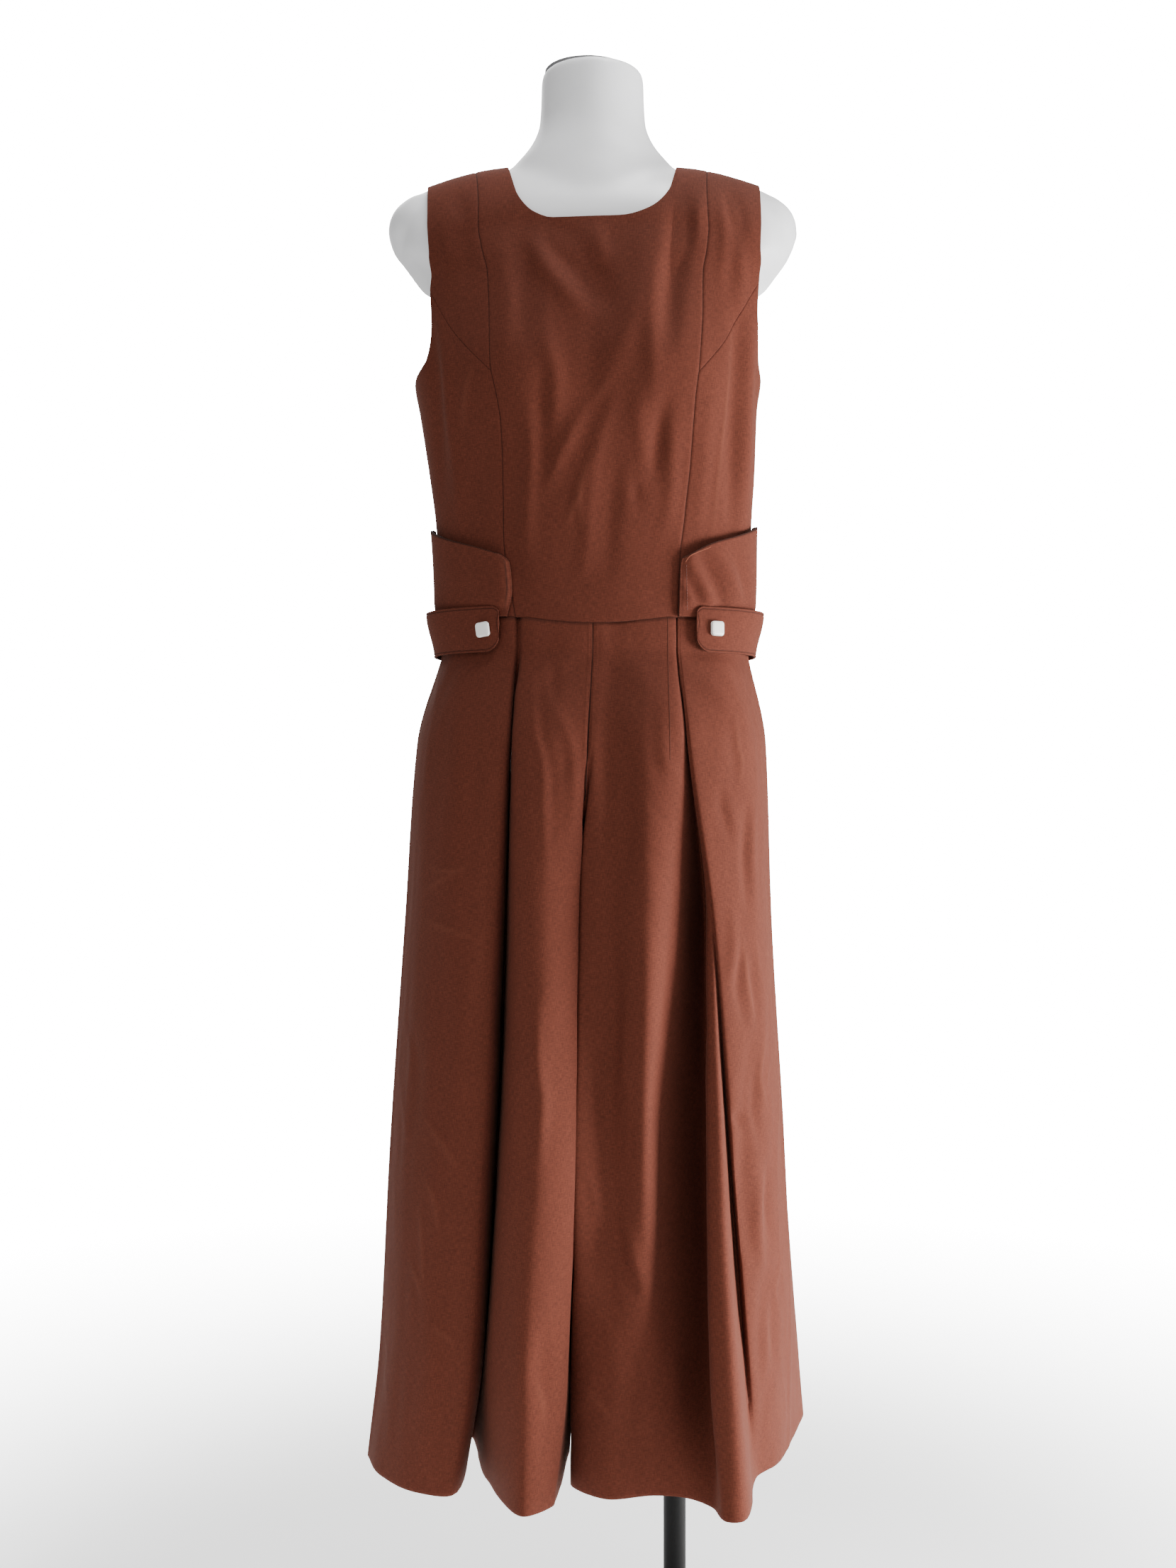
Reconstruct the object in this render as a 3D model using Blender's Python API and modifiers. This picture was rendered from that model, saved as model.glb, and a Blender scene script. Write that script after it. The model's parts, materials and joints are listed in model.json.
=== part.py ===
"""Sleeveless wide-leg jumpsuit on a limbless dress form, with its pole and base.

Metres, +Z up. The wearer faces -Y and the wearer's left is +X. The origin lies on the
underside of the base, straight below the form's centre line.

The bodice is cut from one body surface, given by sections and a shoulder line. Each leg
is cut from fold lines that run from the waist to the hem. Every panel is a closed wall
between an outer and an inner sheet of points of those surfaces.
"""

import math
from collections import namedtuple

import bmesh
import bpy
from mathutils import Matrix, Vector

# ---------------------------------------------------------------- driving sizes
CLOTH = 0.0012          # wall of one layer of cloth
DOUBLE = 0.0024         # wall of a flap or belt, two layers
GAP = 0.0003            # between neighbouring pieces
FORM_EASE = 0.0024      # between the cloth's inner side and the form

WAIST = 1.0365          # height of the waist seam at the sides
WAIST_DIP = 0.006       # how far it drops at the centre front
WAIST_DIP_HALF = 0.085  # half-width of that drop
BELT_LOW = 1.0040
BELT_HIGH = 1.0470
HEM = 0.2185
CROTCH_TOP = 0.885      # where the centre seams start to turn under
CROTCH = 0.820          # lowest point of the crotch seam
SQUARE_OVER = 0.040     # height above the waist by which panels turn off the level there
SHOULDER_TURN = 1.400   # above this the surface also faces upwards

MEAN_RADIUS = 0.13      # of the body, for lengths along its surface
ROUND = 2.3             # exponent of the body's superelliptic sections
ROLL = 0.075            # height over which the shoulders roll over to the back
BUST_X, BUST_Z, BUST_REACH, BUST_RISE = 0.088, 1.268, 0.062, 0.012

ZIP_HALF = 0.0022       # half-width of the zip's chain
ZIP_TOP = 1.4300
ZIP_BEND = 1.3400       # above this the chain follows the curve of the shoulders
ZIP_END = 0.9640
ZIP_LET_IN = 0.9540     # from here up the back panels part for the chain

BUTTON = 0.0150
BUTTON_RISE = 0.0030
BUTTON_CLEAR = 0.0002   # more than a gap, as the belt curves under it

FORM_BOTTOM = 0.890
NECK_TOP = 1.5795
CAP_TOP = 1.5830
CAP_RADIUS = 0.0420
CAP_RIM = 0.0010
CAP_X = -0.0050         # the cap lies a little off the neck's middle
POLE_X = 0.0810
POLE_RADIUS = 0.0110
BASE_RADIUS = 0.1500
BASE_HEIGHT = 0.0100
BASE_RIM = 0.0030
COLLAR_RADIUS = 0.0300
COLLAR_HEIGHT = 0.0220
COLLAR_BAND = 0.0060    # height of its full-width part
COLLAR_WALL = 0.0040    # what is left of it round the pole

# Body sections, outside of the cloth: half-widths on the wearer's right and left, and
# depths in front of and behind the centre plane.
Section = namedtuple("Section", "height right left front back")
BODY = (
    Section(0.8900, 0.1580, 0.1620, 0.108, 0.114),
    Section(1.0040, 0.1500, 0.1545, 0.099, 0.099),
    Section(1.0365, 0.1495, 0.1545, 0.098, 0.098),
    Section(1.0800, 0.1505, 0.1555, 0.099, 0.100),
    Section(1.1300, 0.1535, 0.1560, 0.103, 0.104),
    Section(1.1800, 0.1600, 0.1590, 0.108, 0.109),
    Section(1.2400, 0.1694, 0.1612, 0.113, 0.113),
    Section(1.2750, 0.1752, 0.1660, 0.114, 0.115),
    Section(1.3150, 0.1760, 0.1730, 0.112, 0.115),
    Section(1.3600, 0.1830, 0.1850, 0.106, 0.112),
    Section(1.3810, 0.1950, 0.1980, 0.102, 0.109),
    Section(1.4070, 0.2040, 0.2080, 0.096, 0.104),
    Section(1.4900, 0.2045, 0.2085, 0.084, 0.088),
)

# The shoulder line: its height at a share of the half-width, from centre to arm cap.
Shoulder = namedtuple("Shoulder", "share height")
SHOULDER = (
    Shoulder(0.000, 1.4880),
    Shoulder(0.410, 1.4835),
    Shoulder(0.790, 1.4670),
    Shoulder(0.910, 1.4520),
    Shoulder(1.000, 1.4200),
)

# Sections of the form's neck, down to where it runs into the chest and the shoulders.
Neck = namedtuple("Neck", "height side front back")
NECK = (
    Neck(1.4300, 0.0830, 0.0830, 0.0880),
    Neck(1.4600, 0.0830, 0.0755, 0.0800),
    Neck(1.4838, 0.0800, 0.0675, 0.0720),
    Neck(1.4965, 0.0680, 0.0640, 0.0665),
    Neck(1.5110, 0.0585, 0.0595, 0.0610),
    Neck(1.5270, 0.0525, 0.0560, 0.0570),
    Neck(1.5500, 0.0508, 0.0540, 0.0540),
    Neck(1.5710, 0.0502, 0.0530, 0.0530),
    Neck(1.5770, 0.0488, 0.0515, 0.0515),
    Neck(NECK_TOP, 0.0460, 0.0485, 0.0485),
)
NECK_SIDES = 32

# How much narrower and shallower than the cloth the form is, by height.
Ease = namedtuple("Ease", "height side depth")
EASE = (
    Ease(0.890, 0.016, 0.008),
    Ease(1.036, 0.005, 0.005),
    Ease(1.270, 0.014, 0.006),
    Ease(1.357, 0.024, 0.004),
    Ease(1.381, 0.000, 0.001),
    Ease(1.420, 0.000, 0.000),
)

# Seams and edges of the bodice, as points (x, z) seen from the front.
PRINCESS_RIGHT_LOW = ((-0.0728, WAIST), (-0.0839, 1.1083), (-0.0857, 1.2164), (-0.0945, 1.2627))
PRINCESS_RIGHT_HIGH = ((-0.0945, 1.2627), (-0.0967, 1.3163), (-0.1077, 1.4137), (-0.1166, None))
PRINCESS_LEFT_LOW = ((0.0801, WAIST), (0.0817, 1.0909), (0.0867, 1.1336), (0.0985, 1.2627))
PRINCESS_LEFT_HIGH = ((0.0985, 1.2627), (0.1018, 1.3044), (0.1080, 1.4336), (0.1134, None))
BUST_SEAM_RIGHT = ((-0.0945, 1.2627), (-0.1359, 1.3129), (-0.1550, 1.3485))
BUST_SEAM_LEFT = ((0.0985, 1.2627), (0.1245, 1.2964), (0.1352, 1.3162), (0.1584, 1.3574))
ARMHOLE_RIGHT_LOW = ((-0.1550, 1.3485), (-0.1600, 1.2850), (-0.1752, 1.2685))
ARMHOLE_RIGHT_HIGH = ((-0.1550, 1.3485), (-0.1575, 1.4100), (-0.1622, None))
ARMHOLE_LEFT_LOW = ((0.1584, 1.3574), (0.1600, 1.2850), (0.1656, 1.2685))
ARMHOLE_LEFT_HIGH = ((0.1584, 1.3574), (0.1600, 1.4100), (0.1630, None))
NECK_FRONT = ((-0.0865, None), (-0.0723, 1.4384), (-0.0560, 1.4165), (-0.0330, 1.4098),
              (0.0303, 1.4120), (0.0570, 1.4225), (0.0739, 1.4458), (0.0850, None))
BACK_ARMHOLE_RIGHT = ((-0.1752, 1.2685), (-0.1560, 1.3100), (-0.1520, 1.4000), (-0.1622, None))
BACK_ARMHOLE_LEFT = ((0.1656, 1.2685), (0.1560, 1.3100), (0.1530, 1.4000), (0.1630, None))
NECK_BACK_DEPTH = 1.4340
NECK_BACK = ((0.55, 1.4420), (0.92, 1.4640))    # share of the neck point's x, height
ARMPIT = 1.2685

# Steps of the panels' sheets along their edges.
LOW_STEPS, HIGH_STEPS, ROLL_STEPS = 7, 3, 7
SHOULDER_IN, NECK_STEPS, SEAM_STEPS, ARM_STEPS = 2, 16, 4, 2

# Flap outlines seen from the front: the top edge from the side seam, then the front edge
# down to the waist seam.
FLAP_RIGHT_TOP = ((-0.1530, 1.1290), (-0.1300, 1.1120), (-0.1080, 1.1040), (-0.0860, 1.0960))
FLAP_RIGHT_FRONT = ((-0.0860, 1.0960), (-0.0775, 1.0870), (-0.0752, 1.0620), (-0.0800, WAIST))
FLAP_LEFT_TOP = ((0.1555, 1.1320), (0.1300, 1.1150), (0.1092, 1.1070), (0.0825, 1.0920))
FLAP_LEFT_FRONT = ((0.0825, 1.0920), (0.0808, 1.0830), (0.0802, 1.0600), (0.0799, WAIST))

FLAP_UNDER = 0.0009                                 # from the body surface to the flap
BELT_END_RIGHT, BELT_END_LEFT = -0.0860, 0.0952     # x of the buttoned ends
BELT_FLARE = 0.0080                                 # how far its top stands off at the sides
BELT_CORNER = 0.0080                                # radius of its corners
BELT_END_TURNS = (0.0, 0.012, 0.035, 0.085)         # stations near an end, in radians
BELT_END_ARC = 0.2                                  # and the last of them
BUTTON_RIGHT = (-0.0996, 1.0250, -8.0)              # x, z, turn in degrees
BUTTON_LEFT = (0.1129, 1.0265, 0.0)

# Fold lines of the trousers. Each row is one line from the waist down: at the waist its x
# and how far it is set in behind the waist ring, and at each lower level its x and y.
LEVELS = (HEM, 0.330, 0.520, 0.750, 0.920, BELT_LOW)
Fold = namedtuple("Fold", "name waist hip thigh knee calf hem")
FRONT_RIGHT = (
    Fold("side", (-0.1495, 0.0), (-0.1736, 0.0), (-0.1855, 0.0), (-0.2009, 0.0),
         (-0.2105, 0.0), (-0.2224, -0.002)),
    Fold("outer", (-0.1330, 0.0), (-0.1550, -0.064), (-0.1620, -0.072), (-0.1750, -0.072),
         (-0.1860, -0.066), (-0.2030, -0.055)),
    Fold("outer front", (-0.1050, 0.0), (-0.1180, -0.104), (-0.1270, -0.110), (-0.1400, -0.108),
         (-0.1500, -0.104), (-0.1660, -0.095)),
    Fold("outer crest", (-0.0735, 0.0), (-0.0795, -0.118), (-0.0895, -0.119), (-0.1024, -0.116),
         (-0.1130, -0.110), (-0.1310, -0.102)),
    Fold("pleat floor", (-0.0695, 0.005), (-0.0758, -0.092), (-0.0820, -0.060),
         (-0.0930, -0.030), (-0.1060, 0.000), (-0.1220, 0.045)),
    Fold("inner crest", (-0.0655, 0.0), (-0.0722, -0.117), (-0.0717, -0.119), (-0.0815, -0.117),
         (-0.0960, -0.106), (-0.1020, -0.060)),
    Fold("centre", (-0.0400, 0.0), (-0.0450, -0.125), (-0.0450, -0.129), (-0.0530, -0.136),
         (-0.0620, -0.146), (-0.0640, -0.150)),
    Fold("inner front", (-0.0110, 0.0), (-0.0150, -0.121), (-0.0150, -0.108),
         (-0.0195, -0.118), (-0.0270, -0.122), (-0.0370, -0.128)),
)
FRONT_LEFT = (
    Fold("side", (0.1545, 0.0), (0.1715, 0.0), (0.1771, 0.0), (0.1900, 0.0),
         (0.1970, 0.008), (0.1960, 0.017)),
    Fold("side front", (0.1270, 0.0), (0.1430, -0.082), (0.1530, -0.078), (0.1660, -0.062),
         (0.1750, -0.044), (0.1780, -0.029)),
    Fold("side crest", (0.0840, 0.0), (0.0950, -0.117), (0.1150, -0.112), (0.1320, -0.096),
         (0.1480, -0.078), (0.1580, -0.056)),
    Fold("side pleat", (0.0805, 0.004), (0.0915, -0.108), (0.1125, -0.088), (0.1290, -0.078),
         (0.1440, -0.072), (0.1535, -0.070)),
    Fold("strip crest", (0.0765, 0.001), (0.0875, -0.114), (0.1050, -0.106), (0.1160, -0.112),
         (0.1260, -0.138), (0.1290, -0.161)),
    Fold("pleat floor", (0.0730, 0.004), (0.0790, -0.107), (0.0850, -0.078), (0.0900, -0.078),
         (0.0980, -0.102), (0.1040, -0.128)),
    Fold("centre crest", (0.0690, 0.0), (0.0700, -0.119), (0.0690, -0.120), (0.0740, -0.115),
         (0.0830, -0.108), (0.0880, -0.110)),
    Fold("ridge", (0.0500, 0.0), (0.0509, -0.1255), (0.0509, -0.129), (0.0520, -0.126),
         (0.0540, -0.114), (0.0580, -0.102)),
    Fold("trough", (0.0180, 0.001), (0.0175, -0.120), (0.0163, -0.116), (0.0163, -0.112),
         (0.0150, -0.112), (0.0140, -0.113)),
    Fold("inner front", (0.0080, 0.0), (0.0065, -0.120), (-0.0070, -0.096), (-0.0105, -0.090),
         (-0.0160, -0.086), (-0.0195, -0.080)),
)
BACK_RIGHT = (
    FRONT_RIGHT[0],
    Fold("outer", (-0.1310, 0.0), (-0.1550, 0.070), (-0.1640, 0.082), (-0.1800, 0.090),
         (-0.1900, 0.092), (-0.2010, 0.086)),
    Fold("outer back", (-0.0950, 0.0), (-0.1100, 0.112), (-0.1180, 0.122), (-0.1280, 0.126),
         (-0.1360, 0.130), (-0.1480, 0.130)),
    Fold("back", (-0.0520, 0.0), (-0.0600, 0.127), (-0.0660, 0.133), (-0.0740, 0.132),
         (-0.0820, 0.137), (-0.0900, 0.141)),
    Fold("inner back", (-0.0130, 0.0), (-0.0170, 0.124), (-0.0230, 0.112), (-0.0290, 0.104),
         (-0.0360, 0.104), (-0.0430, 0.110)),
)
BACK_LEFT = (
    FRONT_LEFT[0],
    Fold("outer", (0.1340, 0.0), (0.1570, 0.070), (0.1680, 0.088), (0.1880, 0.108),
         (0.2060, 0.128), (0.2190, 0.140)),
    Fold("outer back", (0.0980, 0.0), (0.1120, 0.112), (0.1200, 0.124), (0.1310, 0.132),
         (0.1410, 0.140), (0.1450, 0.148)),
    Fold("back", (0.0520, 0.0), (0.0600, 0.127), (0.0620, 0.133), (0.0640, 0.132),
         (0.0640, 0.137), (0.0620, 0.142)),
    Fold("inner back", (0.0130, 0.0), (0.0090, 0.124), (0.0010, 0.112), (-0.0020, 0.104),
         (-0.0060, 0.104), (-0.0100, 0.110)),
)
# The seam between the legs: x from the hem up to the waist, at LEVELS.
CENTRE_X = (-0.0285, -0.0220, -0.0155, -0.0117, -0.0045, 0.0)
CENTRE_FRONT_Y, CENTRE_BACK_Y, INSEAM_Y = 0.1180, 0.1240, 0.0100
LEG_HEIGHTS = (HEM, 0.290, 0.360, 0.440, 0.520, 0.600, 0.680, 0.750, 0.795, CROTCH,
               0.832, 0.850, 0.868, CROTCH_TOP, 0.922, 0.962, BELT_LOW, WAIST)
LEG_CLEARANCE = 0.0009  # each leg's inner wall stands this far off the middle

# ---------------------------------------------------------------- materials
Finish = namedtuple("Finish", "name colour roughness metallic")
LINEN = Finish("rust linen weave", (0.146, 0.052, 0.030), 0.86, 0.0)
PEARL = Finish("pearl button", (0.78, 0.75, 0.70), 0.28, 0.0)
SATIN_WHITE = Finish("satin white plastic", (0.80, 0.80, 0.81), 0.38, 0.0)
GREY_PLASTIC = Finish("grey plastic cap", (0.30, 0.30, 0.31), 0.45, 0.0)
BLACK_STEEL = Finish("black painted steel", (0.012, 0.012, 0.013), 0.40, 0.6)
ZIP_TAPE = Finish("brown zip chain", (0.090, 0.034, 0.022), 0.60, 0.0)
ZIP_METAL = Finish("brown painted zip metal", (0.100, 0.040, 0.028), 0.40, 0.8)


def clear_scene():
    """Remove whatever the scene holds."""
    for obj in list(bpy.data.objects):
        bpy.data.objects.remove(obj, do_unlink=True)


def make_collection(name):
    """A new collection in the scene."""
    made = bpy.data.collections.new(name)
    bpy.context.scene.collection.children.link(made)
    return made


def material_of(finish):
    """The Principled material of a finish, made once."""
    found = bpy.data.materials.get(finish.name)
    if found:
        return found
    made = bpy.data.materials.new(finish.name)
    made.use_nodes = True
    shader = made.node_tree.nodes["Principled BSDF"]
    shader.inputs["Base Color"].default_value = (*finish.colour, 1.0)
    shader.inputs["Roughness"].default_value = finish.roughness
    shader.inputs["Metallic"].default_value = finish.metallic
    made.diffuse_color = (*finish.colour, 1.0)
    return made


# ---------------------------------------------------------------- curves and tables
def smooth(knots, values, at):
    """Monotone cubic through rising knots, level beyond both ends."""
    last = len(knots) - 1
    if at <= knots[0]:
        return values[0]
    if at >= knots[last]:
        return values[last]
    slopes = [(values[i + 1] - values[i]) / (knots[i + 1] - knots[i]) for i in range(last)]

    def tangent(i):
        if i == 0:
            return slopes[0]
        if i == last:
            return slopes[-1]
        if slopes[i - 1] * slopes[i] <= 0:
            return 0.0
        return 2 * slopes[i - 1] * slopes[i] / (slopes[i - 1] + slopes[i])

    i = max(k for k in range(last) if knots[k] <= at)
    width = knots[i + 1] - knots[i]
    t = (at - knots[i]) / width
    start, end = values[i], values[i + 1]
    bend = t * (1 - t) * width
    flat = start + (end - start) * t * t * (3 - 2 * t)
    return flat + bend * ((1 - t) * tangent(i) - t * tangent(i + 1))


def column(rows, name, at):
    """A column of a table whose first field rises, read smoothly at a height."""
    return smooth([row[0] for row in rows], [getattr(row, name) for row in rows], at)


def ease_in(t):
    """0 to 1 with level ends."""
    t = min(max(t, 0.0), 1.0)
    return t * t * (3 - 2 * t)


def spread(start, end, steps):
    """Even values from start to end, both included."""
    return [start + (end - start) * i / steps for i in range(steps + 1)]


def curve_through(places, shares, rising):
    """Places at shares of a smooth curve's rise, or else of its length on the body."""
    knots = [0.0]
    for a, b in zip(places, places[1:]):
        run = b[1] - a[1] if rising else math.hypot((b[0] - a[0]) * MEAN_RADIUS, b[1] - a[1])
        knots.append(knots[-1] + run)
    return [
        tuple(smooth(knots, [p[k] for p in places], share * knots[-1]) for k in (0, 1))
        for share in shares
    ]


# ---------------------------------------------------------------- the body surface
# A place on it is (angle, level): -90 degrees at the wearer's right side seam, 0 at the
# centre, 90 at the left. Level is the height, run evenly round the roll of the shoulder.
def half_width(angle, level):
    """Half-width of the body on the side that the angle is on."""
    return column(BODY, "left" if angle > 0 else "right", level)


def shoulder_height(share):
    """Height of the shoulder line at a share of the half-width."""
    return smooth([row.share for row in SHOULDER], [row.height for row in SHOULDER], share)


def body_point(side, angle, level, narrow=0.0, shallow=0.0):
    """A point of the body: side is -1 in front and 1 behind."""
    share = abs(math.sin(angle)) ** (2 / ROUND)
    deep = abs(math.cos(angle)) ** (2 / ROUND)
    x = math.copysign(share * (half_width(angle, level) - narrow), angle)
    top = shoulder_height(share)
    roll = min(max((top - level) / ROLL, 0.0), 1.0) * math.pi / 2
    z = level if level < top - ROLL else top - ROLL * (1 - math.cos(roll))
    depth = column(BODY, "front" if side < 0 else "back", level) - shallow
    y = deep * depth * math.sin(roll)
    if side < 0:
        off = ((abs(x) - BUST_X) ** 2 + (z - BUST_Z) ** 2) / BUST_REACH**2
        y += BUST_RISE * deep * math.exp(-off)
    return Vector((x, side * y, z))


def body_normal(side, angle, level):
    """Outward direction there, level at the waist so that pieces meet squarely."""
    turn, rise = 1e-3, 1e-4
    limit = math.pi / 2
    along = body_point(side, min(angle + turn, limit), level) - body_point(
        side, max(angle - turn, -limit), level)
    up = body_point(side, angle, level) - body_point(side, angle, level - rise)
    normal = along.cross(up).normalized()
    here = body_point(side, angle, level)
    if normal.dot(Vector((here.x, here.y, max(0.0, here.z - SHOULDER_TURN)))) < 0:
        normal = -normal
    if abs(angle) > limit - turn / 2:
        normal.y = 0.0
    normal.z *= ease_in((level - WAIST) / SQUARE_OVER)
    return normal.normalized()


def place_of(x, z):
    """(angle, level) of the body point seen at x and z; z None is the shoulder line."""
    level = z if z is not None else SHOULDER[0].height
    for _ in range(6):
        share = min(abs(x) / half_width(x, level), 1.0)
        top = shoulder_height(share)
        if z is None:
            level = top
        elif z > top - ROLL:
            level = top - ROLL * math.acos(max(1 - (top - z) / ROLL, -1.0)) * 2 / math.pi
        else:
            level = z
    return math.copysign(math.asin(share ** (ROUND / 2)), x), level


def edge(points, steps, roll_steps=0, crowd=False):
    """Places along a seam given as (x, z) points, with extra steps in the shoulder roll.

    With crowd, the steps are shorter towards both ends.
    """
    places = [place_of(*point) for point in points]
    shares = spread(0.0, 1.0, steps)
    if crowd:
        shares = [math.sin(math.pi / 2 * share) ** 2 for share in shares]
    if roll_steps:
        ends = places[0][1], places[-1][1]
        bend = (ends[1] - ROLL - ends[0]) / (ends[1] - ends[0])
        shares = spread(0.0, bend, steps)[:-1] + spread(bend, 1.0, roll_steps)
    return curve_through(places, shares, bool(roll_steps))


def waist_drop(x):
    """How far the waist seam lies below its height at the sides, in front."""
    return WAIST_DIP * max(0.0, 1 - (x / WAIST_DIP_HALF) ** 2) ** 2


def waist_edge(start, end, steps, front):
    """Places along the waist seam between two angles."""
    places = []
    for angle in spread(start, end, steps):
        x = body_point(-1, angle, WAIST).x
        places.append((angle, WAIST - (waist_drop(x) if front else 0.0)))
    return places


def patch(bottom, top, start, end):
    """Rows of places that fill four edges: a Coons patch."""
    rows = []
    for i, (first, last) in enumerate(zip(start, end)):
        v = i / (len(start) - 1)
        row = []
        for j, (low, high) in enumerate(zip(bottom, top)):
            u = j / (len(bottom) - 1)
            row.append(tuple(
                (1 - v) * low[k] + v * high[k] + (1 - u) * first[k] + u * last[k]
                - (1 - v) * ((1 - u) * bottom[0][k] + u * bottom[-1][k])
                - v * ((1 - u) * top[0][k] + u * top[-1][k])
                for k in (0, 1)
            ))
        rows.append(row)
    return rows


# ---------------------------------------------------------------- walls of cloth
def inset(sheet, amount):
    """Draw the edges of a sheet of points in by an amount."""
    last_row, last_column = len(sheet) - 1, len(sheet[0]) - 1
    drawn = [[point.copy() for point in row] for row in sheet]
    for i, row in enumerate(sheet):
        for j, point in enumerate(row):
            if i in (0, last_row):
                inner = sheet[1 if i == 0 else last_row - 1][j]
                drawn[i][j] += (inner - point).normalized() * amount
            if j in (0, last_column):
                inner = row[1 if j == 0 else last_column - 1]
                drawn[i][j] += (inner - point).normalized() * amount
    return drawn


def add_object(name, mesh_builder, finish, collection):
    """A new object from a bmesh, with its material."""
    bmesh.ops.recalc_face_normals(mesh_builder, faces=mesh_builder.faces)
    mesh = bpy.data.meshes.new(name)
    mesh_builder.to_mesh(mesh)
    mesh_builder.free()
    mesh.materials.append(material_of(finish))
    obj = bpy.data.objects.new(name, mesh)
    collection.objects.link(obj)
    return obj


def cloth_wall(name, outer, inner, collection, finish=LINEN):
    """Loft a closed wall between two sheets of points of the same size."""
    builder = bmesh.new()
    sheets = [[[builder.verts.new(p) for p in row] for row in inset(sheet, GAP / 2)]
              for sheet in (outer, inner)]
    rows, columns = len(outer), len(outer[0])
    for sheet in sheets:
        for i in range(rows - 1):
            for j in range(columns - 1):
                builder.faces.new((sheet[i][j], sheet[i][j + 1],
                                   sheet[i + 1][j + 1], sheet[i + 1][j]))
    rim = ([(0, j) for j in range(columns)] + [(i, columns - 1) for i in range(1, rows)]
           + [(rows - 1, j) for j in range(columns - 2, -1, -1)]
           + [(i, 0) for i in range(rows - 2, 0, -1)])
    for (i, j), (k, m) in zip(rim, rim[1:] + rim[:1]):
        builder.faces.new((sheets[0][i][j], sheets[0][k][m], sheets[1][k][m], sheets[1][i][j]))
    obj = add_object(name, builder, finish, collection)
    obj.data.shade_smooth()
    obj.data.set_sharp_from_angle(angle=math.radians(40))
    return obj


def body_panel(name, side, places, collection, under=-CLOTH, over=0.0):
    """A panel of the bodice, from one offset of the body surface to another."""
    sheets = []
    for offset in (over, under):
        sheets.append([[body_point(side, *place) + body_normal(side, *place) * offset
                        for place in row] for row in places])
    return cloth_wall(name, *sheets, collection)


# ---------------------------------------------------------------- bodice
def princess(low, high):
    """Places of a princess seam: below the bust seam, and from there to the shoulder."""
    return edge(low, LOW_STEPS), edge(high, HIGH_STEPS, ROLL_STEPS)


def make_front(collection):
    """The five panels of the front bodice."""
    right_low, right_high = princess(PRINCESS_RIGHT_LOW, PRINCESS_RIGHT_HIGH)
    left_low, left_high = princess(PRINCESS_LEFT_LOW, PRINCESS_LEFT_HIGH)
    neck = edge(NECK_FRONT, NECK_STEPS, crowd=True)
    top = (edge((PRINCESS_RIGHT_HIGH[-1], NECK_FRONT[0]), SHOULDER_IN)[:-1] + neck
           + edge((NECK_FRONT[-1], PRINCESS_LEFT_HIGH[-1]), SHOULDER_IN)[1:])
    bottom = waist_edge(right_low[0][0], left_low[0][0], len(top) - 1, True)
    places = patch(bottom, top, right_low + right_high[1:], left_low + left_high[1:])
    body_panel("front_centre", -1, places, collection)
    sides = (
        ("right", -1, right_low, right_high, BUST_SEAM_RIGHT, ARMHOLE_RIGHT_LOW,
         ARMHOLE_RIGHT_HIGH, PRINCESS_RIGHT_HIGH),
        ("left", 1, left_low, left_high, BUST_SEAM_LEFT, ARMHOLE_LEFT_LOW,
         ARMHOLE_LEFT_HIGH, PRINCESS_LEFT_HIGH),
    )
    for hand, sign, low, high, seam, arm_low, arm_high, shoulder in sides:
        bust = edge(seam, SEAM_STEPS)
        top = edge((shoulder[-1], arm_high[-1]), SEAM_STEPS)
        arm = edge(arm_high, HIGH_STEPS, ROLL_STEPS)
        body_panel(f"front_shoulder_{hand}", -1, patch(bust, top, high, arm), collection)
        top = bust + edge(arm_low, ARM_STEPS)[1:]
        bottom = waist_edge(low[0][0], sign * math.pi / 2, len(top) - 1, True)
        body_panel(f"front_side_{hand}", -1, patch(bottom, top, low, side_seam(sign)), collection)


def side_seam(sign):
    """Places of a side seam from the waist to the armpit."""
    return [(sign * math.pi / 2, level) for level in spread(WAIST, ARMPIT, LOW_STEPS)]


def make_back(collection):
    """The two back panels, either side of the zip."""
    sides = (
        ("right", -1, BACK_ARMHOLE_RIGHT, NECK_FRONT[0], PRINCESS_RIGHT_HIGH, -ZIP_HALF),
        ("left", 1, BACK_ARMHOLE_LEFT, NECK_FRONT[-1], PRINCESS_LEFT_HIGH, ZIP_HALF),
    )
    for hand, sign, armhole, neck_point, shoulder, zip_x in sides:
        neck_curve = ((zip_x, NECK_BACK_DEPTH),
                      *((share * neck_point[0], height) for share, height in NECK_BACK),
                      neck_point)
        top = (edge(neck_curve, NECK_STEPS // 2)
               + edge((neck_point, shoulder[-1]), SHOULDER_IN)[1:]
               + edge((shoulder[-1], armhole[-1]), SEAM_STEPS)[1:])
        end = side_seam(sign) + edge(armhole, HIGH_STEPS, ROLL_STEPS)[1:]
        shares = [(level - WAIST) / (end[-1][1] - WAIST) for _, level in end]
        start = [place_of(zip_x, WAIST + share * (NECK_BACK_DEPTH - WAIST)) for share in shares]
        bottom = waist_edge(start[0][0], sign * math.pi / 2, len(top) - 1, False)
        body_panel(f"back_{hand}", 1, patch(bottom, top, start, end), collection)


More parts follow.
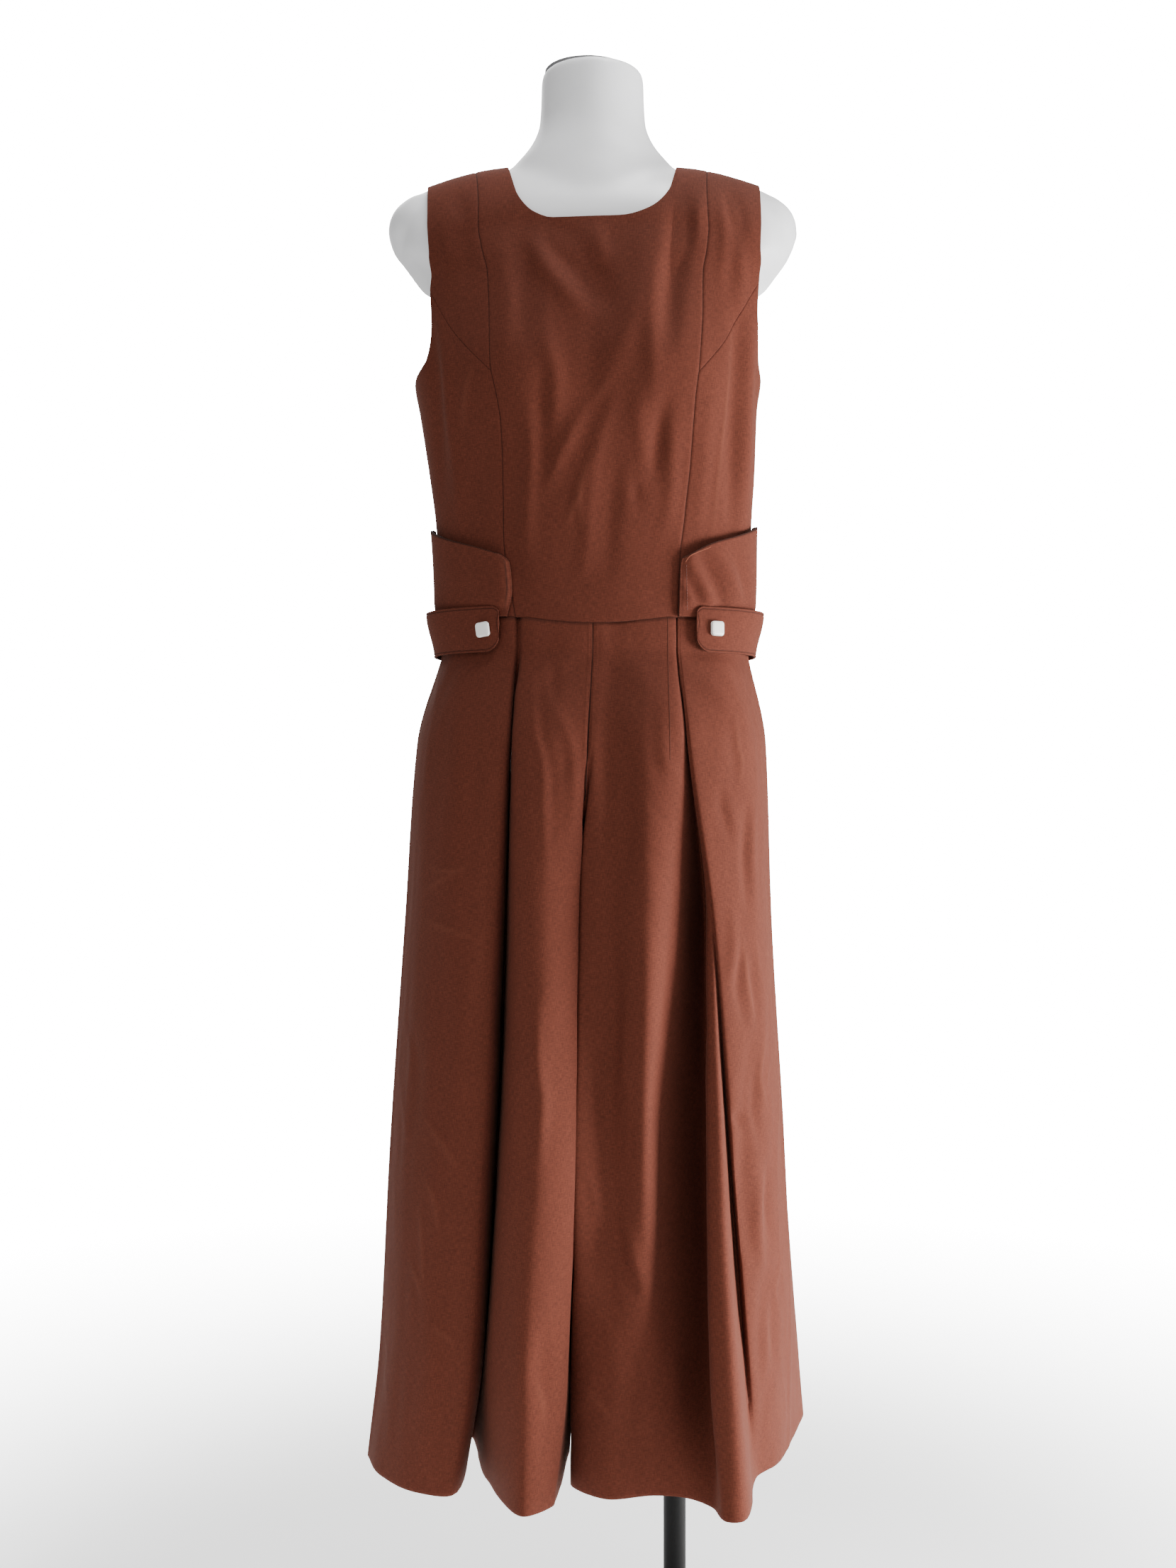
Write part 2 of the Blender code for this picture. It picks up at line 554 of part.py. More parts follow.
# ---------------------------------------------------------------- flaps, belt, buttons
def make_flaps(collection):
    """The double-layer flaps that lie on the lower side-front panels."""
    for hand, top_points, front_points in (("right", FLAP_RIGHT_TOP, FLAP_RIGHT_FRONT),
                                           ("left", FLAP_LEFT_TOP, FLAP_LEFT_FRONT)):
        top = edge(top_points, 7)
        front = edge(front_points[::-1], 5)
        side_angle = math.copysign(math.pi / 2, top_points[0][0])
        top[0] = (side_angle, top[0][1])
        side = [(side_angle, level) for level in spread(WAIST + 2 * GAP, top[0][1], 5)]
        front[0] = (front[0][0], WAIST + 2 * GAP)
        bottom = [(angle, WAIST + 2 * GAP) for angle in spread(side_angle, front[0][0], 7)]
        places = patch(bottom, top, side, front)
        body_panel(f"waist_flap_{hand}", -1, places, collection, FLAP_UNDER,
                   FLAP_UNDER + DOUBLE)


def belt_inset(reach):
    """How much narrower the belt is, above and below, this far from its rounded end."""
    short = max(BELT_CORNER - reach, 0.0)
    return BELT_CORNER - math.sqrt(max(BELT_CORNER**2 - short**2, 0.0))


def belt_point(side, angle, height, offset):
    """A point of the belt, which stands off at its top towards the side seams."""
    rise = (height - BELT_LOW) / (BELT_HIGH - BELT_LOW)
    stand_off = BELT_FLARE * ease_in(rise) * abs(math.sin(angle)) ** 6
    if side > 0:
        stand_off = BELT_FLARE * ease_in(rise) * abs(math.sin(angle)) ** 14
    point = body_point(side, angle, WAIST)
    normal = body_normal(side, angle, WAIST)
    point.z = height
    return point + normal * (offset + stand_off)


def make_belt(collection):
    """The belt, from one buttoned end round the back to the other."""
    right_end, left_end = place_of(BELT_END_RIGHT, WAIST)[0], place_of(BELT_END_LEFT, WAIST)[0]
    quarter = math.pi / 2
    stations = [(-1, right_end - turn) for turn in BELT_END_TURNS]
    stations += [(-1, angle) for angle in spread(right_end - BELT_END_ARC, -quarter, 6)]
    stations += [(1, angle) for angle in spread(-quarter, quarter, 16)[1:]]
    stations += [(-1, angle) for angle in spread(quarter, left_end + BELT_END_ARC, 6)[1:]]
    stations += [(-1, left_end + turn) for turn in BELT_END_TURNS[::-1]]
    reach = {}
    for count, turn in enumerate(BELT_END_TURNS):
        reach[count] = reach[len(stations) - 1 - count] = turn * MEAN_RADIUS
    sheets = []
    under = FLAP_UNDER + DOUBLE + 2 * GAP
    for offset in (under + DOUBLE, under):
        sheet = []
        for count, (side, angle) in enumerate(stations):
            trim = belt_inset(reach.get(count, 1.0))
            sheet.append([belt_point(side, angle, height, offset)
                          for height in spread(BELT_LOW + trim, BELT_HIGH - trim, 3)])
        sheets.append(sheet)
    cloth_wall("belt", *sheets, collection)


def make_buttons(collection):
    """Square buttons with rounded corners and a soft bevel, on the belt's ends."""
    for hand, (x, z, turn) in (("right", BUTTON_RIGHT), ("left", BUTTON_LEFT)):
        angle, _ = place_of(x, WAIST)
        normal = body_normal(-1, angle, WAIST)
        lift = FLAP_UNDER + 2 * DOUBLE + 3 * GAP + BUTTON_CLEAR + BUTTON_RISE / 2
        centre = belt_point(-1, angle, z, lift)
        builder = bmesh.new()
        bmesh.ops.create_cube(builder, size=1.0)
        bmesh.ops.scale(builder, vec=(BUTTON, BUTTON_RISE, BUTTON), verts=builder.verts)
        obj = add_object(f"button_{hand}", builder, PEARL, collection)
        corners = [e.index for e in obj.data.edges
                   if abs(obj.data.vertices[e.vertices[0]].co.y
                          - obj.data.vertices[e.vertices[1]].co.y) > BUTTON_RISE / 2]
        weights = obj.data.attributes.new("bevel_weight_edge", "FLOAT", "EDGE")
        for index in corners:
            weights.data[index].value = 1.0
        corner = obj.modifiers.new("round corners", "BEVEL")
        corner.limit_method = "WEIGHT"
        corner.width, corner.segments = 0.0030, 4
        rim = obj.modifiers.new("soft rim", "BEVEL")
        rim.limit_method = "ANGLE"
        rim.width, rim.segments = 0.0009, 2
        facing = math.atan2(normal.x, -normal.y)
        obj.matrix_world = (Matrix.Translation(centre) @ Matrix.Rotation(facing, 4, "Z")
                            @ Matrix.Rotation(math.radians(turn), 4, "Y"))


# ---------------------------------------------------------------- trousers
def waist_ring_y(side, x):
    """Depth of the waist ring at x."""
    return body_point(side, place_of(x, WAIST)[0], WAIST).y


def fold_at(fold, side, height):
    """Plan position of a fold line at a height."""
    waist_x, set_in = fold.waist
    top = (waist_x, waist_ring_y(side, waist_x) - side * set_in)
    points = (fold.hem, fold.calf, fold.knee, fold.thigh, fold.hip, top)
    return tuple(smooth(LEVELS, [p[k] for p in points], height) for k in (0, 1))


def inner_seam_at(side, hand, height):
    """Plan position and outward direction of a leg's edge at the centre or inner seam."""
    under = (CROTCH_TOP - height) / (CROTCH_TOP - CROTCH)
    below = ease_in(under)
    clear = GAP / 2 + (LEG_CLEARANCE - GAP / 2) * below
    if side > 0 and height > ZIP_LET_IN:
        clear = ZIP_HALF + GAP
    x = smooth(LEVELS, CENTRE_X, height) + hand * clear
    depth = CENTRE_FRONT_Y if side < 0 else CENTRE_BACK_Y
    if under <= 0:
        y = side * smooth((CROTCH_TOP, 0.92, BELT_LOW),
                          (depth, depth, abs(waist_ring_y(side, x))), height)
    elif under < 1:
        y = INSEAM_Y + (side * depth - INSEAM_Y) * math.sqrt(1 - under**2)
    else:
        y = INSEAM_Y
    turn = below * math.pi / 2
    return (x, y), (-hand * math.sin(turn), side * math.cos(turn))


def rounded(points, steps):
    """Points along a smooth open curve through plan points (centripetal Catmull-Rom)."""
    ends = [tuple(2 * a - b for a, b in zip(points[0], points[1])),
            tuple(2 * a - b for a, b in zip(points[-1], points[-2]))]
    padded = [ends[0], *points, ends[1]]
    path = [points[0]]
    for a, b, c, d in zip(padded, padded[1:], padded[2:], padded[3:]):
        knots = [0.0]
        for start, end in ((a, b), (b, c), (c, d)):
            knots.append(knots[-1] + math.sqrt(math.dist(start, end)))
        for t in spread(knots[1], knots[2], steps)[1:]:
            path.append(catmull(a, b, c, d, knots, t))
    return path


def catmull(a, b, c, d, knots, t):
    """One point of the span b to c, by Barry and Goldman's pyramid."""
    def mix(p, q, i, j):
        share = (t - knots[i]) / (knots[j] - knots[i])
        return tuple(m + (n - m) * share for m, n in zip(p, q))

    first, second, third = mix(a, b, 0, 1), mix(b, c, 1, 2), mix(c, d, 2, 3)
    return mix(mix(first, second, 0, 2), mix(second, third, 1, 3), 1, 2)


def leg_row(folds, side, hand, height):
    """Outer and inner points of a leg panel at one height, side seam to inner seam."""
    seam, seam_normal = inner_seam_at(side, hand, height)
    path = rounded([fold_at(fold, side, height) for fold in folds] + [seam], 2)
    drop = height if height < WAIST else None
    limit = hand * seam[0]
    path = [(hand * max(hand * x, limit), y) for x, y in path]
    outer, inner = [], []
    for i, (x, y) in enumerate(path):
        before, after = path[max(i - 1, 0)], path[min(i + 1, len(path) - 1)]
        normal = Vector((after[1] - before[1], before[0] - after[0], 0.0)).normalized()
        normal *= side * hand
        if i == 0:
            normal = Vector((hand, 0.0, 0.0))
        if i == len(path) - 1:
            normal = Vector((*seam_normal, 0.0))
        z = drop if drop is not None else WAIST - (waist_drop(x) if side < 0 else 0.0)
        outer.append(Vector((x, y, z)))
        inner.append(Vector((x, y, z)) - normal * CLOTH)
    return outer, inner


def make_trousers(collection):
    """Front and back panels of both legs."""
    panels = (
        ("trouser_front_right", FRONT_RIGHT, -1, -1),
        ("trouser_front_left", FRONT_LEFT, -1, 1),
        ("trouser_back_right", BACK_RIGHT, 1, -1),
        ("trouser_back_left", BACK_LEFT, 1, 1),
    )
    for name, folds, side, hand in panels:
        rows = [leg_row(folds, side, hand, height) for height in LEG_HEIGHTS]
        cloth_wall(name, [row[0] for row in rows], [row[1] for row in rows], collection)


# ---------------------------------------------------------------- zip
def make_zip(collection):
    """Chain, slider and pull tab of the centre-back zip."""
    heights = (spread(ZIP_END, WAIST, 3) + spread(WAIST, ZIP_BEND, 7)[1:]
               + spread(ZIP_BEND, ZIP_TOP, 8)[1:])
    sheets = []
    for offset in (0.0, -CLOTH):
        sheet = []
        for height in heights:
            if height > WAIST:
                middle = body_point(1, 0.0, height) + body_normal(1, 0.0, height) * offset
            else:
                middle = Vector((0.0, inner_seam_at(1, 1, height)[0][1] + offset, height))
                middle.x = smooth(LEVELS, CENTRE_X, height)
            sheet.append([middle + Vector((x, 0.0, 0.0)) for x in (-ZIP_HALF, 0.0, ZIP_HALF)])
        sheets.append(sheet)
    cloth_wall("zip_chain", *sheets, collection, ZIP_TAPE)

    slider_level = ZIP_TOP - SLIDER_DOWN
    normal = body_normal(1, 0.0, slider_level)
    seat = body_point(1, 0.0, slider_level) + normal * GAP
    frame = Matrix.Translation(seat) @ Matrix.Rotation(math.asin(normal.z), 4, "X")
    make_slider(frame, collection)


def box_into(builder, size, centre):
    """Add a box to a bmesh."""
    made = bmesh.ops.create_cube(builder, size=1.0)["verts"]
    bmesh.ops.scale(builder, vec=size, verts=made)
    bmesh.ops.translate(builder, vec=centre, verts=made)


def rod_into(builder, radius, length, centre, sides):
    """Add a cylinder along X to a bmesh."""
    made = bmesh.ops.create_cone(builder, cap_ends=True, segments=sides, radius1=radius,
                                 radius2=radius, depth=length)["verts"]
    bmesh.ops.rotate(builder, matrix=Matrix.Rotation(math.pi / 2, 3, "Y"), verts=made)
    bmesh.ops.translate(builder, vec=centre, verts=made)


def combine(obj, tool, operation):
    """Join or cut an object with a hidden helper."""
    tool.hide_render = True
    tool.display_type = "WIRE"
    boolean = obj.modifiers.new(operation.lower(), "BOOLEAN")
    boolean.operation = operation
    boolean.object = tool


# The slider and pull, in the slider's own frame: +Y off the back, +Z up the zip.
SLIDER = Vector((0.0062, 0.0018, 0.0090))
SLIDER_DOWN = 0.0080    # from the top of the chain to its middle
PIN = Vector((0.0, 0.0040, -0.0015))
PIN_RADIUS = 0.0006
EAR = Vector((0.0010, 0.0042, 0.0028))
EAR_OUT = 0.0029        # from the chain to the middle of an ear
BARREL_WIDTH, BARREL_OUTER, BARREL_INNER = 0.0026, 0.0017, 0.0010
PULL = Vector((0.0048, 0.0011, 0.0170))
PULL_NECK = 0.0036


def make_slider(frame, collection):
    """The slider with its two ears and pin, and the pull tab that swings on the pin."""
    helpers = bpy.data.collections.get("helpers") or make_collection("helpers")
    ear_x = BARREL_WIDTH / 2 + GAP + EAR.x / 2
    builder = bmesh.new()
    box_into(builder, SLIDER, (0.0, SLIDER.y / 2, 0.0))
    slider = add_object("zip_slider", builder, ZIP_METAL, collection)
    slider.matrix_world = frame
    for hand in (-1, 1):
        builder = bmesh.new()
        box_into(builder, EAR, (hand * ear_x, EAR_OUT, PIN.z))
        ear = add_object(f"ear_{hand}", builder, ZIP_METAL, helpers)
        ear.matrix_world = frame
        combine(slider, ear, "UNION")
    builder = bmesh.new()
    rod_into(builder, PIN_RADIUS, 2 * ear_x, PIN, 12)
    rod = add_object("zip_pin", builder, ZIP_METAL, helpers)
    rod.matrix_world = frame
    combine(slider, rod, "UNION")

    builder = bmesh.new()
    rod_into(builder, BARREL_OUTER, BARREL_WIDTH, Vector(), 16)
    pull = add_object("zip_pull", builder, ZIP_METAL, collection)
    builder = bmesh.new()
    box_into(builder, (BARREL_WIDTH, PULL.y, PULL_NECK),
             (0.0, 0.0, -BARREL_INNER - PULL_NECK / 2))
    neck = add_object("zip_pull_neck", builder, ZIP_METAL, helpers)
    builder = bmesh.new()
    box_into(builder, PULL, (0.0, 0.0, -PULL_NECK - PULL.z / 2))
    plate = add_object("zip_plate", builder, ZIP_METAL, helpers)
    builder = bmesh.new()
    rod_into(builder, BARREL_INNER, 2 * BARREL_WIDTH, Vector(), 16)
    bore = add_object("zip_bore", builder, ZIP_METAL, helpers)
    for obj in (pull, neck, plate, bore):
        obj.matrix_world = frame @ Matrix.Translation(PIN)
    combine(pull, neck, "UNION")
    combine(pull, plate, "UNION")
    combine(pull, bore, "DIFFERENCE")


# ---------------------------------------------------------------- form and stand
def lathe(name, profile, steps, finish, collection, place=(0.0, 0.0, 0.0)):
    """Turn a profile of (radius, height), listed from the top down the outer side."""
    builder = bmesh.new()
    points = [builder.verts.new((radius, 0.0, height)) for radius, height in profile]
    for a, b in zip(points, points[1:]):
        builder.edges.new((a, b))
    mesh = bpy.data.meshes.new(name)
    builder.to_mesh(mesh)
    builder.free()
    mesh.materials.append(material_of(finish))
    obj = bpy.data.objects.new(name, mesh)
    obj.location = place
    collection.objects.link(obj)
    screw = obj.modifiers.new("turn", "SCREW")
    screw.steps = screw.render_steps = steps
    screw.use_merge_vertices = True
    screw.merge_threshold = 0.00001
    screw.use_smooth_shade = False
    return obj


def form_point(side, angle, level):
    """A point of the form, inside the cloth."""
    narrow, shallow = column(EASE, "side", level), column(EASE, "depth", level)
    point = body_point(side, angle, level, narrow, shallow)
    return point - body_normal(side, angle, level) * (CLOTH + FORM_EASE)


def make_neck(collection):
    """The neck, lofted through its oval sections."""
    builder = bmesh.new()
    rows = []
    for row in NECK:
        ring = []
        for turn in range(NECK_SIDES):
            angle = math.tau * turn / NECK_SIDES
            depth = row.front if math.sin(angle) < 0 else row.back
            ring.append(builder.verts.new((row.side * math.cos(angle),
                                           depth * math.sin(angle), row.height)))
        rows.append(ring)
    for low, high in zip(rows, rows[1:]):
        for j in range(NECK_SIDES):
            k = (j + 1) % NECK_SIDES
            builder.faces.new((low[j], low[k], high[k], high[j]))
    builder.faces.new(rows[0][::-1])
    builder.faces.new(rows[-1])
    return add_object("neck", builder, SATIN_WHITE, collection)


def make_form(collection):
    """The torso with its arm caps and neck, and the cap on the neck."""
    angles = spread(-math.pi / 2, math.pi / 2, 18)
    builder = bmesh.new()
    rings = []
    lower, upper = 11, 8
    for count in range(lower + upper + 1):
        ring = []
        for side, turns in ((-1, angles), (1, angles[-2:0:-1])):
            for angle in turns:
                top = shoulder_height(abs(math.sin(angle)) ** (2 / ROUND))
                if count <= lower:
                    level = FORM_BOTTOM + (top - ROLL - FORM_BOTTOM) * count / lower
                else:
                    level = top - ROLL * (1 - (count - lower) / upper)
                ring.append(form_point(side, angle, level))
        rings.append(ring)
    size, front = len(rings[0]), len(angles)
    ridge = rings[-1]
    for turn in range(front, size):
        ridge[turn] = ridge[size - turn]
    for point in ridge:
        point.y = 0.0
    rows = [[builder.verts.new(point) for point in ring] for ring in rings]
    for low, high in zip(rows, rows[1:]):
        for j in range(size):
            builder.faces.new((low[j], low[(j + 1) % size], high[(j + 1) % size], high[j]))
    builder.faces.new(rows[0][::-1])
    bmesh.ops.remove_doubles(builder, verts=builder.verts, dist=1e-6)
    torso = add_object("form_torso", builder, SATIN_WHITE, collection)
    torso.data.shade_smooth()

    helpers = bpy.data.collections.get("helpers") or make_collection("helpers")
    combine(torso, make_neck(helpers), "UNION")

    cap_profile = ((0.0, CAP_TOP), (CAP_RADIUS - CAP_RIM, CAP_TOP),
                   (CAP_RADIUS, CAP_TOP - CAP_RIM), (CAP_RADIUS, NECK_TOP + GAP),
                   (0.0, NECK_TOP + GAP))
    lathe("form_neck_cap", cap_profile, 28, GREY_PLASTIC, collection, (CAP_X, 0.0, 0.0))


def make_stand(collection):
    """The collar under the form, the pole down one leg, and the base."""
    place = (POLE_X, 0.0, 0.0)
    collar_top, collar_low = FORM_BOTTOM - GAP, FORM_BOTTOM - GAP - COLLAR_HEIGHT
    collar_profile = ((0.0, collar_top), (COLLAR_RADIUS, collar_top),
                      (COLLAR_RADIUS, collar_top - COLLAR_BAND),
                      (POLE_RADIUS + COLLAR_WALL, collar_low), (0.0, collar_low))
    lathe("stand_collar", collar_profile, 24, BLACK_STEEL, collection, place)
    pole_profile = ((0.0, collar_low - GAP), (POLE_RADIUS, collar_low - GAP),
                    (POLE_RADIUS, BASE_HEIGHT + GAP), (0.0, BASE_HEIGHT + GAP))
    lathe("stand_pole", pole_profile, 20, BLACK_STEEL, collection, place)
    base_profile = ((0.0, BASE_HEIGHT), (BASE_RADIUS - BASE_RIM, BASE_HEIGHT),
                    (BASE_RADIUS, BASE_HEIGHT - BASE_RIM), (BASE_RADIUS, 0.0), (0.0, 0.0))
    lathe("stand_base", base_profile, 48, BLACK_STEEL, collection, place)


def main():
    """Build the jumpsuit, its form and its stand."""
    clear_scene()
    garment = make_collection("jumpsuit on a dress form")
    make_collection("helpers")
    make_front(garment)
    make_back(garment)
    make_flaps(garment)
    make_belt(garment)
    make_buttons(garment)
    make_trousers(garment)
    make_zip(garment)
    make_form(garment)
    make_stand(garment)


main()
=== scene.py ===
"""Sleeveless wide-leg jumpsuit in rust linen weave, on a white limbless dress form.

Metres, +Z up. The wearer faces -Y and the wearer's left is +X. Each piece of cloth is a thin
shell on the form that its solid gives it, with each fold and crease as a row of a table. The
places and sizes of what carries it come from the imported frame.
"""

import json
import logging
import math
from collections.abc import Callable, Iterable, Sequence
from dataclasses import dataclass
from enum import Enum

import bmesh
import bpy
import numpy as np
from mathutils import Matrix, Vector
from mathutils.bvhtree import BVHTree

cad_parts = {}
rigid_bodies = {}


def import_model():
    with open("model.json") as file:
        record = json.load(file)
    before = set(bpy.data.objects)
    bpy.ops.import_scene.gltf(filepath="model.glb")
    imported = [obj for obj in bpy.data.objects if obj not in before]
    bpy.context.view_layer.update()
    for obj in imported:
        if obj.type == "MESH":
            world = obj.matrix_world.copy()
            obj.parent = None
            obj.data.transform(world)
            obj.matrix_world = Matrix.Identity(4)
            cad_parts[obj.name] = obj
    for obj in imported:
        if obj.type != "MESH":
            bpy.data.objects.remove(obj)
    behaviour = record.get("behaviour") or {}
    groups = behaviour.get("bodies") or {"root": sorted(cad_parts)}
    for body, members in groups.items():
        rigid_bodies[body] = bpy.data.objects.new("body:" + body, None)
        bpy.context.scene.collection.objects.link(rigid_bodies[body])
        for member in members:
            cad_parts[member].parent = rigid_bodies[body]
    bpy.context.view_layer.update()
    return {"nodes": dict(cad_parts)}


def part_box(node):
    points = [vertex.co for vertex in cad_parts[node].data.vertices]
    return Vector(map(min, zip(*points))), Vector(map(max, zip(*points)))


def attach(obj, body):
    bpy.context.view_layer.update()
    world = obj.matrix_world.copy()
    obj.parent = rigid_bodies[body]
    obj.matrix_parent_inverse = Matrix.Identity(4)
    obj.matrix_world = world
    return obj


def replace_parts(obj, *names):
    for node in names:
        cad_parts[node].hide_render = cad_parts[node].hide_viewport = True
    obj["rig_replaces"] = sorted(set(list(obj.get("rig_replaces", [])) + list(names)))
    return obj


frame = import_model()
LOG = logging.getLogger("jumpsuit")
MM = 0.001
Points = tuple[tuple[float, float], ...]
Colour = tuple[float, float, float, float]
Triple = tuple[float, float, float]
Grid = np.ndarray
Material, Object, Node = bpy.types.Material, bpy.types.Object, bpy.types.Node


class Side(Enum):
    """Front or back of the body, by the sign of Y."""

    FRONT = -1
    BACK = 1


class Hand(Enum):
    """The wearer's right or left, by the sign of X."""

    RIGHT = -1
    LEFT = 1


class Profile(Enum):
    """How a crease is shaped across its line."""

    SOFT = "rounded fold"
    PRESSED = "sharp crease left by folding"



# ---- finishes
def linear(hex_colour: str) -> Colour:
    """Turn an sRGB hex colour to linear.

    Args:
        hex_colour: Six hex digits, with or without a leading hash.

    Returns:
        Linear red, green, blue and an alpha of 1.
    """
    digits = hex_colour.lstrip("#")
    channels = []
    for start in (0, 2, 4):
        value = int(digits[start:start + 2], 16) / 255
        channels.append(value / 12.92 if value <= 0.04045 else ((value + 0.055) / 1.055) ** 2.4)
    return channels[0], channels[1], channels[2], 1.0


def add_node(tree: bpy.types.NodeTree, kind: str, settings: dict | None = None,
             links: dict | None = None) -> Node:
    """Add a node with its settings and links.

    Args:
        tree: The tree that gets the node.
        kind: The node's type, without its ShaderNode prefix.
        settings: Values by the name of a property or of an input socket.
        links: Output sockets by the name or number of the input that each feeds.

    Returns:
        The new node.
    """
    node = tree.nodes.new(f"ShaderNode{kind}")
    for name, value in (settings or {}).items():
        if isinstance(name, str) and name in node.bl_rna.properties:
            setattr(node, name, value)
        else:
            node.inputs[name].default_value = value
    for name, socket in (links or {}).items():
        tree.links.new(socket, node.inputs[name])
    return node


def new_material(name: str, shader: dict) -> tuple[Material, Node]:
    """Make a material with one Principled shader.

    Args:
        name: The material's name.
        shader: Values for the shader's input sockets.

    Returns:
        The material and its shader node.
    """
    made = bpy.data.materials.new(name)
    made.use_nodes = True
    node = made.node_tree.nodes["Principled BSDF"]
    for socket, value in shader.items():
        node.inputs[socket].default_value = value
    return made, node


def dapple(made: Material, shader: Node, colours: Sequence[Colour],
           grain: float, detail: float, bumps: tuple[float, float] | None = None
           ) -> bpy.types.NodeSocket:
    """Vary a finish's colour, and its surface, with one noise on Object coordinates.

    Args:
        made: The material.
        shader: Its shader.
        colours: The two linear colours that it wavers between.
        grain: Size of the noise's cells.
        detail: How many finer noises lie on it.
        bumps: Strength and depth of the bumps, where it has any.

    Returns:
        The noise's output.
    """
    tree = made.node_tree
    place = add_node(tree, "TexCoord").outputs["Object"]
    noise = add_node(tree, "TexNoise", {"Scale": 1 / grain, "Detail": detail},
                     {"Vector": place}).outputs["Fac"]
    blend = add_node(tree, "Mix", {"data_type": "RGBA", 6: colours[0], 7: colours[1]},
                     {0: noise})
    tree.links.new(blend.outputs[2], shader.inputs["Base Color"])
    if bumps:
        bump = add_node(tree, "Bump", {"Strength": bumps[0], "Distance": bumps[1]},
                        {"Height": noise})
        tree.links.new(bump.outputs["Normal"], shader.inputs["Normal"])
    return noise


@dataclass(frozen=True)
class LinenWeave:
    """Plain-weave linen and viscose, whose fuzzy slubbed yarns make it matt and finely streaked.

    The yarns are drawn 0.5 mm apart and their slubs 5.5 mm long.
    """

    name: str = "rust linen weave"
    dark: str = "#4E2418"
    middle: str = "#57291C"
    light: str = "#602F21"
    # Painted shade for the seam grooves, the flap and belt layer lines and the dart.
    seam: str = "#140704"
    # Pale colour for the pressed creases' wear with painted highlight, and for the painted
    # highlight on the flap's corner seam.
    worn: str = "#7C4735"
    fuzz: str = "#D8A890"
    yarn: float = 0.5 * MM
    slub: float = 5.5 * MM
    mottle: float = 18.0 * MM
    bump: float = 0.14 * MM
    roughness: float = 0.88

    def build(self) -> Material:
        """Make the material, whose pattern follows the piece's own UV map in metres, with painted
        shade and a painted highlight from its seam attribute.
        """
        made, shader = new_material(self.name, {
            "Roughness": self.roughness, "IOR": 1.5, "Specular IOR Level": 0.18,
            "Sheen Weight": 0.05, "Sheen Roughness": 0.4, "Sheen Tint": linear(self.fuzz)})
        tree = made.node_tree
        place = add_node(tree, "UVMap", {"uv_map": "weave"}).outputs["UV"]
        threads = []
        for run in ((1 / self.yarn, 1 / self.slub, 1.0), (1 / self.slub, 1 / self.yarn, 1.0)):
            mapped = add_node(tree, "Mapping", {"Scale": run}, {"Vector": place})
            noise = add_node(tree, "TexNoise", {"noise_dimensions": "2D", "Scale": 1.0,
                                                "Detail": 1.0, "Roughness": 0.5},
                             {"Vector": mapped.outputs["Vector"]})
            threads.append(noise.outputs["Fac"])
        both = add_node(tree, "Math", {"operation": "ADD"}, {0: threads[0], 1: threads[1]})
        weave = add_node(tree, "Math", {"operation": "MULTIPLY", 1: 0.5},
                         {0: both.outputs["Value"]}).outputs["Value"]
        wide = add_node(tree, "Mapping", {"Scale": (1 / self.mottle, 0.5 / self.mottle, 1.0)},
                        {"Vector": place})
        mottle = add_node(tree, "TexNoise", {"noise_dimensions": "2D", "Scale": 1.0,
                                             "Detail": 3.0}, {"Vector": wide.outputs["Vector"]})
        tone = add_node(tree, "MapRange", {"From Min": 0.36, "From Max": 0.64},
                        {"Value": weave})
        shade = add_node(tree, "MapRange", {"From Min": 0.3, "From Max": 0.7, "To Min": -0.06,
                                            "To Max": 0.06}, {"Value": mottle.outputs["Fac"]})
        total = add_node(tree, "Math", {"operation": "ADD"},
                         {0: tone.outputs["Result"], 1: shade.outputs["Result"]})
        ramp = add_node(tree, "ValToRGB", {}, {"Fac": total.outputs["Value"]})
        stops = ramp.color_ramp.elements
        stops[0].position, stops[0].color = 0.0, linear(self.dark)
        stops[1].position, stops[1].color = 1.0, linear(self.light)
        stops.new(0.5).color = linear(self.middle)
        seam = add_node(tree, "Attribute", {"attribute_name": "seam"}).outputs["Fac"]
        # Where the seam attribute is below 0: the pale crease line of wear with painted highlight,
        # and the corner seam's painted highlight.
        worn_and_highlight = add_node(tree, "Math", {"operation": "MULTIPLY", 1: -1.0}, {0: seam})
        pale = add_node(tree, "Mix", {"data_type": "RGBA", 7: linear(self.worn)},
                        {0: worn_and_highlight.outputs["Value"], 6: ramp.outputs["Color"]})
        # Painted shade: mixes the dark seam colour in where the seam attribute is above 0.
        sunk = add_node(tree, "Mix", {"data_type": "RGBA", 7: linear(self.seam)},
                        {0: seam, 6: pale.outputs[2]})
        tree.links.new(sunk.outputs[2], shader.inputs["Base Color"])
        bump = add_node(tree, "Bump", {"Strength": 0.5, "Distance": self.bump},
                        {"Height": weave})
        tree.links.new(bump.outputs["Normal"], shader.inputs["Normal"])
        return made


@dataclass(frozen=True)
class MouldedPlastic:
    """Moulded plastic: an even colour with a faint mottle and a soft satin gloss."""

    name: str
    colour: str
    fleck: str
    roughness: float
    grain: float
    bump: float = 0.02 * MM
    coat: float = 0.0

    def build(self) -> Material:
        """Make the material, a little rougher where its mottle is paler."""
        made, shader = new_material(self.name, {
            "Roughness": self.roughness, "IOR": 1.49, "Coat Weight": self.coat,
            "Coat Roughness": 0.12})
        mottle = dapple(made, shader, (linear(self.colour), linear(self.fleck)), self.grain,
                        4.0, (0.4, self.bump))
        rough = add_node(made.node_tree, "MapRange", {"To Min": self.roughness - 0.05,
                                                      "To Max": self.roughness + 0.06},
                         {"Value": mottle})
        made.node_tree.links.new(rough.outputs["Result"], shader.inputs["Roughness"])
        return made


